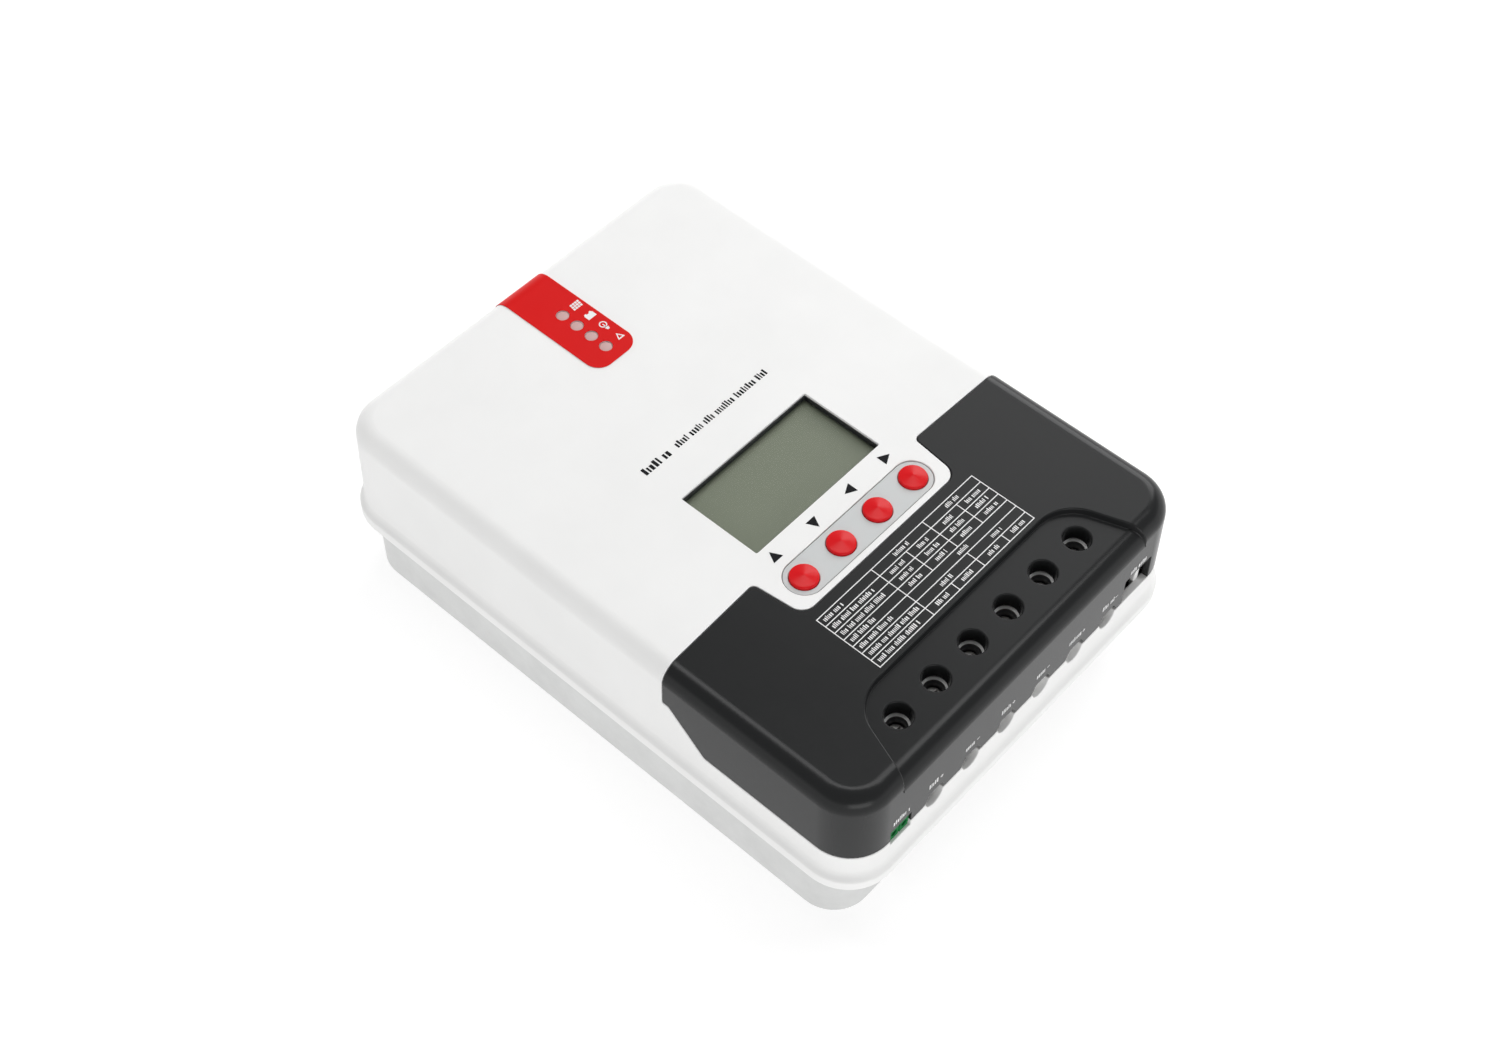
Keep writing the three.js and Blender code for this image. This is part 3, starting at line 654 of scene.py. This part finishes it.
def entry_arch(x):
    """Cutter for the arch over one wire entry, with slanted shoulders."""
    top = COVER_EDGE_Z + 3.8
    return swept(filleted([
        (x - 5.2, COVER_EDGE_Z - 2, 0),
        (x + 5.2, COVER_EDGE_Z - 2, 0),
        (x + 5.2, COVER_EDGE_Z, 0),
        (x + 3.1, top, 1),
        (x - 3.1, top, 1),
        (x - 5.2, COVER_EDGE_Z, 0),
    ]), *THROUGH_FRONT, "Y")


def data_opening():
    """Cutter for the opening in front of the data socket, open at the cover's lower edge."""
    return swept(filleted([
        (DATA_LEFT, 30, 0),
        (DATA_RIGHT, 30, 0),
        (DATA_RIGHT, DATA_TOP, 0.8),
        (DATA_LEFT, DATA_TOP, 0.8),
    ]), *THROUGH_FRONT, "Y")


def terminal_cover():
    """The black cover: its sunken panel follows the body's own form, lowered to the panel's height."""
    region = cover_region(0)
    body = common(cut(body_form(0), body_form(WALL)), region)
    under = common(body_form(0), swept(panel_outline(WALL), PANEL_Z - WALL, TOP_Z))
    tubes = [rod(x, POLE_Y, BLOCK_TOP + 0.3, PANEL_Z - 1, ACCESS_RADIUS + 1.4) for x in POLES]
    body = joined(body, under, *tubes)
    steps = [(PANEL_Z - 9, 0), (PANEL_Z, 0), (TOP_Z - 0.5, 0.25), (TOP_Z, 0.5), (TOP_Z + 1, 1.5)]
    lowered = body_form(0)
    lowered.data.transform(Matrix.Translation((0, -0.12, PANEL_Z - TOP_Z)))
    body = cut(body, cut(stacked([(z, panel_outline(grow)) for z, grow in steps]), lowered))
    cutters = [temp_notch(30, COVER_EDGE_Z + 4.8)]
    for x in POLES:
        cutters += [access_bore(x), entry_arch(x)]
    body = cut(body, *cutters, data_opening())
    hook_top = TOP_Z - WALL
    for x in (-60, 60):
        body = joined(
            body,
            box(x - 8, x + 8, EAR_Y - 12, EAR_Y - 4, hook_top - 2.2, hook_top + 0.5),
            box(x - 8, x + 8, EAR_Y - 6, EAR_Y + 6, hook_top - 2.2, hook_top - 0.3),
        )
    return body


def fin(x, reach):
    """A tapered fin with a rounded tip."""
    root = PLATE_BOTTOM + 1
    section = filleted([
        (x - 1, root, 0),
        (x - 0.75, FIN_TIP_Z, 0.6),
        (x + 0.75, FIN_TIP_Z, 0.6),
        (x + 1, root, 0),
    ], 4)
    return swept(section, -reach, reach, "Y")


def heat_sink():
    """A plate with fins, side walls and four corner pads that hold the mounting slots and case screws."""
    outline = rounded(SINK_HALF_X, SINK_HALF_Y, SINK_RADIUS)
    additions = []
    for sx in (-1, 1):
        wall_x = sorted((sx * SINK_HALF_X, sx * (SINK_HALF_X - SINK_WALL)))
        additions.append(box(*wall_x, -PAD_INNER_Y - 1, PAD_INNER_Y + 1, 0, PLATE_BOTTOM + 1))
        for sy in (-1, 1):
            pad_x = sorted((sx * PAD_INNER_X, sx * OUT_X))
            pad_y = sorted((sy * PAD_INNER_Y, sy * OUT_Y))
            corner = box(*pad_x, *pad_y, -1, PLATE_BOTTOM + 2)
            additions.append(common(swept(outline, 0, PLATE_BOTTOM + 1), corner))
    for i in range(FIN_COUNT):
        x = (i - (FIN_COUNT - 1) / 2) * FIN_PITCH
        between_pads = abs(x) + 2 < PAD_INNER_X
        additions.append(fin(x, SINK_HALF_Y - 3 if between_pads else PAD_INNER_Y + 0.5))
    body = joined(swept(outline, PLATE_BOTTOM, SINK_TOP), *additions)
    cutters = []
    for sx in (-1, 1):
        for sy in (-1, 1):
            slot = rounded(2.35, 3.83, 2.34, sx * SLOT_X, sy * SLOT_Y, 8)
            cutters.append(swept(slot, -1, 8))
    for x, y in CASE_SCREWS:
        cutters += [rod(x, y, -1, 14.5, 4.6), rod(x, y, 14, SINK_TOP + 1, 2.4)]
    body = cut(body, *cutters)
    for x, y in BOARD_SCREWS:
        body = joined(body, rod(x, y, SINK_TOP - 0.5, 32.7, 3.5))
        body = cut(body, rod(x, y, SINK_TOP - 5, 33, 1.7))
    return body


def post():
    """The housing's white post in front of the data socket."""
    left = POST_X - 1.1
    right = POST_X + 1.1
    foot = RIM_BOTTOM + 8
    return joined(
        box(left, right, -113.6, -111.9, foot, DATA_TOP - 0.6),
        box(left, right, -114.5, -112, foot, COVER_EDGE_Z - 1),
    )


piece("case_housing", housing(), "white_plastic", ["housing"], edge=0.25)
piece("case_cover", terminal_cover(), "black_plastic", ["terminal_cover"], edge=0.25)
piece("finned_sink", heat_sink(), "cast_aluminium", ["heat_sink"], edge=0.3)
piece("case_post", post(), "white_plastic", edge=0.3)

# ---- Front panel -----------------------------------------------------------------------------------


def status_stripe():
    """The overlay, a thin sheet that lies over the body's form and runs down its back wall."""
    sheet = cut(body_form(-STRIPE_TOP), body_form(-0.1))
    plan = filleted([
        (STRIPE_HALF, OUT_Y, 0),
        (-STRIPE_HALF, OUT_Y, 0),
        (-STRIPE_HALF, STRIPE_Y, 6),
        (STRIPE_HALF, STRIPE_Y, 6),
    ], 12)
    return cut(common(sheet, swept(plan, STRIPE_BOTTOM_Z, 80)), *led_holes())


def dish(radius, foot, side_top, rim_top, apex):
    """Profile of a round cap: straight side, rounded rim, then a cone with a soft peak."""
    rim = 0.7
    rim_steps = 6
    rise = apex - rim_top
    profile = [(0, foot), (radius, foot), (radius, side_top)]
    for i in range(1, rim_steps + 1):
        angle = math.radians(90 * i / rim_steps)
        z = side_top + (rim_top - side_top) * math.sin(angle)
        profile.append((radius - rim + rim * math.cos(angle), z))
    return profile + [
        (radius * 0.45, rim_top + rise * 0.52),
        (radius * 0.18, rim_top + rise * 0.85),
        (radius * 0.06, apex - 0.02),
        (0, apex),
    ]


def keypad_plate():
    flange = rounded(PILL_HALF + 2, PILL_RADIUS + 2, PILL_RADIUS + 1.99, 0, KEY_Y)
    pill = rounded(PILL_HALF, PILL_RADIUS, PILL_RADIUS - 0.01, 0, KEY_Y)
    body = joined(
        swept(flange, PLATE_FLANGE_TOP - PLATE_FLANGE, PLATE_FLANGE_TOP),
        swept(pill, PLATE_FLANGE_TOP - 1, TOP_Z - 0.3),
    )
    return cut(body, *[rod(x, KEY_Y, *THROUGH_TOP, KEY_RADIUS + 0.2) for x in KEYS.values()])


def button(x):
    """A key: a cap that stands out of the plate, on a flange that the plate holds in."""
    foot = KEY_FLANGE_TOP - 1.3
    base = turned(x, KEY_Y, [(0, foot), (6, foot), (6, KEY_FLANGE_TOP), (0, KEY_FLANGE_TOP)])
    profile = dish(KEY_RADIUS, KEY_FLANGE_TOP - 0.5, TOP_Z + 0.15, TOP_Z + 0.8, TOP_Z + 1.6)
    return joined(base, turned(x, KEY_Y, profile, 64))


def led_lens(y):
    """A lamp that stands on the display board and fills its hole, with a rounded end."""
    foot = ON_DISPLAY_BOARD
    profile = [(0, foot), (2.8, foot), (2.8, foot + 1), (LED_RADIUS, foot + 1), (LED_RADIUS, TOP_Z - 2.6)]
    radius = LED_RADIUS + LED_CLEARANCE - 0.05
    for degrees in (0, 30, 60, 80):
        angle = math.radians(degrees)
        profile.append((radius - 0.4 + 0.4 * math.cos(angle), TOP_Z - 0.4 + 0.4 * math.sin(angle)))
    return turned(LED_X, y, profile + [(0, TOP_Z + 0.1)], 32)


def lcd_module():
    frame_box = box(-35, 35, LCD_Y - 20.5, LCD_Y + 20.5, ON_DISPLAY_BOARD, 66.9)
    glass = swept(rounded(LCD_HALF_X + 0.6, LCD_HALF_Y + 0.6, 0.5, 0, LCD_Y, 4), 66, LENS_BOTTOM - 0.3)
    return joined(frame_box, glass)


def window_lining():
    """The dark gasket between the housing's window edge and the display."""
    outer = rounded(LCD_HALF_X - 0.02, LCD_HALF_Y - 0.02, 0.6, 0, LCD_Y, 4)
    inner = rounded(LCD_HALF_X - 0.4, LCD_HALF_Y - 0.4, 0.4, 0, LCD_Y, 4)
    return cut(swept(outer, LENS_TOP + 0.02, TOP_Z - 0.9), swept(inner, LENS_BOTTOM, TOP_Z))


piece("status_stripe", status_stripe(), "red_overlay", ["status_label"])
piece("keypad_face", keypad_plate(), "grey_plastic", ["keypad_plate"], edge=0.15)
piece("display_unit", lcd_module(), "lcd_glass", ["lcd_module"], edge=0.15)
lens_sheet = box(-34.5, 34.5, LCD_Y - 20, LCD_Y + 20, LENS_BOTTOM, LENS_TOP)
piece("display_window", lens_sheet, "clear_window", ["lcd_lens"], edge=0.15)
piece("window_lining", window_lining(), "black_plastic", material=DARK_LINING)
for key, key_x in KEYS.items():
    piece(f"key_{key}_cap", button(key_x), "red_button", [f"button_{key}"], f"key_{key}")
for index, led_y in enumerate(LEDS, 1):
    piece(f"lamp_lens_{index}", led_lens(led_y), "lamp_lens", [f"status_led_{index}"])

# ---- Terminals and sockets -------------------------------------------------------------------------


def screw_well(x):
    """Cutter for one screw's well, with a seat for its head and a funnel at the top."""
    return turned(x, POLE_Y, [
        (0, 52),
        (2.5, 52),
        (2.5, SCREW_SEAT),
        (WELL_RADIUS, SCREW_SEAT),
        (WELL_RADIUS, BLOCK_TOP - 1.4),
        (WELL_RADIUS + 0.45, BLOCK_TOP - 0.7),
        (WELL_RADIUS + 0.9, BLOCK_TOP - 0.1),
        (WELL_RADIUS + 1, BLOCK_TOP + 0.1),
        (WELL_RADIUS + 1, BLOCK_TOP + 2),
        (0, BLOCK_TOP + 2),
    ])


def terminal_block():
    """The block, with a chamber, a wire hole, a contact bar's slot and a screw well for each pole."""
    body = box(-BLOCK_HALF, BLOCK_HALF, BLOCK_FRONT_Y, BLOCK_BACK_Y, ON_MAIN_BOARD, BLOCK_TOP)
    cutters = []
    for x in POLES:
        cutters += [
            box(x - 5.3, x + 5.3, POLE_Y - 5.5, POLE_Y + 5.5, 36, 53),
            swept(circle(x, COVER_EDGE_Z, ENTRY_RADIUS - 0.2), BLOCK_FRONT_Y - 1, POLE_Y, "Y"),
            box(x - 3.2, x + 3.2, POLE_Y, BLOCK_BACK_Y - 2.7, 43.9, 46.3),
            screw_well(x),
        ]
    return cut(body, *cutters)


def cross_recess(x, y, low, high, length, width):
    """Cutters for a cross recess in a screw's head."""
    return [
        box(x - length, x + length, y - width, y + width, low, high),
        box(x - width, x + width, y - length, y + length, low, high),
    ]


def clamp_screw(x):
    profile = [(0, 46.6), (1.5, 46.6)]
    for i in range(14):
        z = 47 + i * 0.7
        profile += [(1.6, z), (1.94, z + 0.35)]
    seat = SCREW_SEAT + 0.3
    head_radius = WELL_RADIUS - 0.3
    profile += [
        (1.6, seat - 0.4),
        (1.9, seat),
        (head_radius, seat),
        (head_radius, SCREW_TOP - 0.5),
        (WELL_RADIUS - 0.45, SCREW_TOP - 0.15),
        (WELL_RADIUS - 0.8, SCREW_TOP),
        (0, SCREW_TOP),
    ]
    recess = cross_recess(x, POLE_Y, SCREW_TOP - 1.6, SCREW_TOP + 1, 2.1, 0.4)
    return cut(turned(x, POLE_Y, profile, 32), *recess)


def temp_socket():
    """The two-pole socket: its nose shows in the cover's notch, with a groove between the two holes."""
    body = box(TEMP_X - 4.7, TEMP_X + 4.7, -112.4, -101, ON_MAIN_BOARD, 47)
    nose = box(TEMP_X - 4.5, TEMP_X + 4.5, -115.4, -112, COVER_EDGE_Z - 2, COVER_EDGE_Z + 4.4)
    holes = [swept(circle(TEMP_X + side, 42.4, 1.3, 24), -117, -106, "Y") for side in (-2.4, 2.4)]
    groove = box(TEMP_X - 0.3, TEMP_X + 0.3, -117, -114.8, 38, 50)
    return cut(joined(body, nose), *holes, groove)


def data_socket():
    """The modular socket: a cavity for the plug and a narrower one for its latch."""
    body = box(DATA_LEFT - 1.6, POST_X + 0.9, -111.5, -96, ON_MAIN_BOARD, 52.6)
    return cut(
        body,
        box(DATA_LEFT + 0.2, DATA_LEFT + 10.1, -113, -99, 43, 51.2),
        box(DATA_LEFT + 3.2, DATA_LEFT + 7.1, -113, -99, 40.8, 44),
    )


def data_contacts():
    """The socket's eight spring contacts, under the cavity's ceiling."""
    contacts = []
    for i in range(8):
        shift = i * 1.02
        contacts.append(box(DATA_LEFT + 1.4 + shift, DATA_LEFT + 1.75 + shift, -108.5, -99.2, 49.6, 49.9))
    return joined(contacts[0], *contacts[1:])


def case_screw(x, y):
    profile = [(0, 11), (3.1, 11), (3.7, 11.25), (4, 11.9), (4, 14.2), (1.95, 14.2)]
    for i in range(20):
        z = 15 + i * 0.78
        profile += [(1.65, z), (1.95, z + 0.39)]
    profile += [(1.2, 31.6), (0, 31.8)]
    return cut(turned(x, y, profile, 32), *cross_recess(x, y, 10, 12.6, 2.2, 0.42))


piece("pole_block", terminal_block(), "block_plastic", ["terminal_block"], edge=0.2)
for index, pole_x in enumerate(POLES, 1):
    screw = clamp_screw(pole_x)
    piece(f"pole_screw_{index}", screw, "screw_steel", [f"clamp_screw_{index}"], f"screw_{index}")
piece("sensor_terminal", temp_socket(), "green_plastic", ["temp_socket"], edge=0.2)
piece("data_jack", data_socket(), "black_component", ["data_socket"], edge=0.2)
piece("data_contacts", data_contacts(), "brass", material=GOLD)
for index, (screw_x, screw_y) in enumerate(CASE_SCREWS, 1):
    piece(f"rear_screw_{index}", case_screw(screw_x, screw_y), "screw_steel", [f"case_screw_{index}"])

# ---- Printing --------------------------------------------------------------------------------------

INK = 0.06
LINE = 0.16

TABLE_X = (-37.7, 41.3)
TABLE_Y = (-58.1, -84.1)
COLUMNS = [-10.9, 2.3, 15.2, 28.4]
# Column lines that each row crosses, from the top row
ROW_COLUMNS = [[0, 2], [0, 1, 2, 3], [0, 1, 2, 3], [0, 1, 2, 3], [0], [0, 2], [0, 1, 2, 3]]
# How much of its cell each row's label fills
LABEL_SHARES = [0.36, 0.78, 0.84, 0.46, 0.62, 0.96, 0.8]

ARROW_Y = -32.1
# Where each key's arrow stands, and which way it points
ARROWS = [(-27.85, 90), (-8.95, -90), (9.5, 180), (27.4, 0)]
PICTOGRAM_X = 6.8

LABEL_Z = 50
LABEL_HEIGHT = 2.6
SIGN_HALF = 0.7


def flat_at(z):
    """Places print on a flat face at this height."""
    return lambda x, y, lift: (x, y, z + lift)


def front_wall(x, z, lift):
    """A place on the front wall, which leans back a little towards the top."""
    foot = LEDGE_Z + LEDGE_CURVE[-1][0]
    share = (z - foot) / (TOP_Z - EDGE_RADIUS - foot)
    return x, -(RIM_HALF_Y - LEDGE_INSET - END_DRAFT * share) - lift, z


def printed(name, outlines, place, slot, material):
    """Thin raised ink. Its outlines are drawn flat, and place() puts each point on the surface."""
    points, faces = [], []
    for outline_points in outlines:
        count = len(outline_points)
        first = len(points)
        for lift in (-INK / 3, INK):
            points += [place(u, v, lift) for u, v in outline_points]
        faces += [tuple(range(first, first + count)), tuple(range(first + count, first + 2 * count))]
        for i in range(count):
            j = (i + 1) % count
            faces.append((first + i, first + j, first + count + j, first + count + i))
    piece(name, solid(points, faces), slot, material=material)


def rectangle(x0, x1, y0, y1):
    return [(x0, y0), (x1, y0), (x1, y1), (x0, y1)]


def strokes(x0, x1, y, height, draw, weight=0.17):
    """A row of plain upright blocks, in groups, that stands for a line of print without any letters."""
    blocks = []
    x = x0
    left_in_group = draw.randint(4, 8)
    while x < x1:
        width = height * weight * draw.choice((0.8, 1, 1.3))
        top = y + height * draw.choice((0.3, 0.3, 0.5))
        blocks.append(rectangle(x, x + width, y - height * 0.36, top))
        left_in_group -= 1
        x += width + height * 0.17
        if left_in_group == 0:
            left_in_group = draw.randint(4, 8)
            x += height * 0.35
    return blocks


def table_print():
    """The rating table: its rules, and plain strokes in its cells."""
    draw = random.Random(7)
    row_height = (TABLE_Y[0] - TABLE_Y[1]) / len(ROW_COLUMNS)
    marks = []
    for i in range(len(ROW_COLUMNS) + 1):
        y = TABLE_Y[0] - i * row_height
        marks.append(rectangle(TABLE_X[0] - LINE, TABLE_X[1] + LINE, y - LINE, y + LINE))
    for row, crossed in enumerate(ROW_COLUMNS):
        top = TABLE_Y[0] - row * row_height - LINE
        bottom = top - row_height + 2 * LINE
        edges = [TABLE_X[0], *[COLUMNS[i] for i in crossed], TABLE_X[1]]
        marks += [rectangle(x - LINE, x + LINE, bottom, top) for x in edges]
        middle = (top + bottom) / 2
        label_end = edges[0] + 1.6 + (edges[1] - edges[0] - 2) * LABEL_SHARES[row]
        marks += strokes(edges[0] + 1.6, label_end, middle, 2.0, draw)
        for left, right in zip(edges[1:], edges[2:]):
            centre = (left + right) / 2
            half = draw.uniform(2.0, 3.6)
            marks += strokes(centre - half, centre + half, middle, 1.9, draw)
    return marks


def arrow(x, y, degrees, reach=2.65):
    """A solid triangle that points along the given direction."""
    turns = [math.radians(degrees + corner) for corner in (0, 125, 235)]
    return [(x + reach * math.cos(turn), y + reach * math.sin(turn)) for turn in turns]


def band(outer, inner):
    """The band between two outlines of equal length, in four-sided marks."""
    count = len(outer)
    return [[outer[i], outer[(i + 1) % count], inner[(i + 1) % count], inner[i]] for i in range(count)]


def pictograms():
    """Solar panel, battery, lamp and triangle beside the four lamps."""
    x = PICTOGRAM_X
    panel_y, battery_y, bulb_y, triangle_y = LEDS
    marks = []
    for column in range(4):
        for row in range(3):
            left = x - 2.1 + column * 1.08 + row * 0.18
            low = panel_y - 1.55 + row * 1.08
            marks.append(rectangle(left, left + 0.84, low, low + 0.84))
    pole_y = battery_y + 1.0
    marks.append(rectangle(x - 1.9, x + 1.9, battery_y - 1.4, pole_y))
    for pole_x in (x - 1.1, x + 1.1):
        marks.append(rectangle(pole_x - 0.45, pole_x + 0.45, pole_y, battery_y + 1.5))
    marks += band(circle(x, bulb_y + 0.7, 1.5, 20), circle(x, bulb_y + 0.7, 1.05, 20))
    neck_y = bulb_y - 1.0
    foot_y = bulb_y - 2.2
    marks.append([(x - 0.8, neck_y), (x + 0.8, neck_y), (x + 0.45, foot_y), (x - 0.45, foot_y)])
    marks.append(rectangle(x - 0.2, x + 0.2, bulb_y - 0.8, bulb_y + 0.9))
    centre_y = triangle_y - 0.3
    return marks + band(arrow(x, centre_y, 90, 1.9), arrow(x, centre_y, 90, 1.05))


def title_print():
    """A bold group and then lighter ones, in place of the title's words."""
    draw = random.Random(3)
    bold = strokes(-31.6, -19.6, 22.2, 3.6, draw, 0.26)
    return bold + strokes(-15.8, 29.3, 22.4, 3.1, draw, 0.19)


def sign(x, z, plus):
    """A minus sign, or a plus sign in three marks that don't overlap."""
    marks = [rectangle(x - SIGN_HALF, x + SIGN_HALF, z - LINE, z + LINE)]
    if plus:
        marks.append(rectangle(x - LINE, x + LINE, z + LINE, z + SIGN_HALF))
        marks.append(rectangle(x - LINE, x + LINE, z - SIGN_HALF, z - LINE))
    return marks


def wall_labels():
    """Strokes in place of the names over the sockets and poles, with each pole's plus or minus sign."""
    draw = random.Random(11)
    marks = strokes(TEMP_X - 4, TEMP_X + 4, LABEL_Z, LABEL_HEIGHT, draw)
    for i, x in enumerate(POLES):
        half = 2.6 if i < 4 else 3.4
        marks += strokes(x - half - 0.8, x + half - 1.6, LABEL_Z, LABEL_HEIGHT, draw)
        marks += sign(x + half + 0.2, LABEL_Z, plus=i % 2 == 0)
    return marks + strokes(DATA_LEFT + 2.4, DATA_RIGHT - 3.2, DATA_TOP + 2.4, LABEL_HEIGHT, draw)


key_arrows = [arrow(x, ARROW_Y, degrees) for x, degrees in ARROWS]
printed("rating_table", table_print(), flat_at(TOP_Z), "black_plastic", WHITE_INK)
printed("title_line", title_print(), flat_at(TOP_Z), "white_plastic", BLACK_INK)
printed("key_arrows", key_arrows, flat_at(TOP_Z), "white_plastic", BLACK_INK)
printed("lamp_pictograms", pictograms(), flat_at(TOP_Z + STRIPE_TOP), "red_overlay", WHITE_INK)
printed("wall_labels", wall_labels(), front_wall, "black_plastic", WHITE_INK)

# ---- Carried-over CAD nodes ------------------------------------------------------------------------

for row in frame["record"]["subparts"]:
    node = frame["nodes"][row["node"]]
    node.data.materials.clear()
    node.data.materials.append(RIBBON if row["node"] == "ribbon_cable" else MATERIALS[row["material_slot"]])

# ---- Floor, light and camera -----------------------------------------------------------------------


def floor():
    """A plain floor that glows a little, so that it stays white around the object's soft shadow."""
    half = 6
    corners = [(x, y, 0) for x, y in rectangle(-half, half, -half, half)]
    mesh = bpy.data.meshes.new("floor")
    mesh.from_pydata(corners, [], [(0, 1, 2, 3)])
    obj = bpy.data.objects.new("floor", mesh)
    bpy.context.scene.collection.objects.link(obj)
    shader = Shader("pale_floor", (0.3, 0.3, 0.3), 0.8, specular_ior_level=0.1)
    shader.surface.inputs["Emission Color"].default_value = (1, 1, 1, 1)
    shader.surface.inputs["Emission Strength"].default_value = 0.80
    mesh.materials.append(shader.mottle(3, 0.01).material)


def area_light(name, place, along, length, width, power):
    """A soft rectangular light that faces the object, with its long side as near to along as it can be."""
    data = bpy.data.lights.new(name, "AREA")
    data.shape = "RECTANGLE"
    data.size = length
    data.size_y = width
    data.energy = power
    along = Vector(along)
    away = (Vector(place) - Vector((0, 0, 0.05))).normalized()
    side = (along - away * away.dot(along)).normalized()
    turn = Matrix((side, away.cross(side), away)).transposed().to_4x4()
    obj = bpy.data.objects.new(name, data)
    obj.matrix_world = Matrix.Translation(place) @ turn
    bpy.context.scene.collection.objects.link(obj)


def studio():
    """A dim room with a bright band at the horizon, and soft lights overhead and to the sides."""
    world = bpy.data.worlds.new("studio")
    bpy.context.scene.world = world
    world.use_nodes = True
    nodes, links = world.node_tree.nodes, world.node_tree.links
    direction = nodes.new("ShaderNodeTexCoord").outputs["Generated"]
    height = nodes.new("ShaderNodeSeparateXYZ")
    links.new(direction, height.inputs["Vector"])
    ramp = nodes.new("ShaderNodeValToRGB")
    links.new(height.outputs["Z"], ramp.inputs["Fac"])
    elements = ramp.color_ramp.elements
    for element, position, level in zip(elements, (0.2, 0.42), (1.15, 0.22)):
        element.position = position
        element.color = (level, level, level, 1)
    links.new(ramp.outputs["Color"], nodes["Background"].inputs["Color"])
    area_light("overhead", (0.28, 0.17, 1.6), (0.387, -0.46, 0), 2.2, 0.4, 13.3)
    area_light("right_fill", (1.7, 0.45, 1.05), (0, 1, 0), 1.2, 0.9, 14)
    area_light("front_fill", (-0.9, -1.5, 0.45), (1, -0.6, 0), 1.2, 0.6, 6)
    area_light("back_gleam", (1.12, 0.54, 1.35), (0, 1, 0), 0.9, 0.7, 3.4)


def camera():
    """High in front of the left corner, rolled a little to the side."""
    place = Vector((-0.3465, -0.2883, 0.6283))
    target = Vector((-0.01245, -0.00826, 0.05))
    roll = math.radians(2.155)
    data = bpy.data.cameras.new("camera")
    data.lens = 51.53
    data.sensor_width = 36
    data.sensor_fit = "HORIZONTAL"
    data.clip_start = 0.01
    obj = bpy.data.objects.new("camera", data)
    aim = (target - place).to_track_quat("-Z", "Y").to_matrix().to_4x4()
    obj.matrix_world = Matrix.Translation(place) @ aim @ Matrix.Rotation(roll, 4, "Z")
    bpy.context.scene.collection.objects.link(obj)
    bpy.context.scene.camera = obj


floor()
studio()
camera()
bpy.context.scene.view_settings.view_transform = "Standard"

bpy.context.view_layer.update()
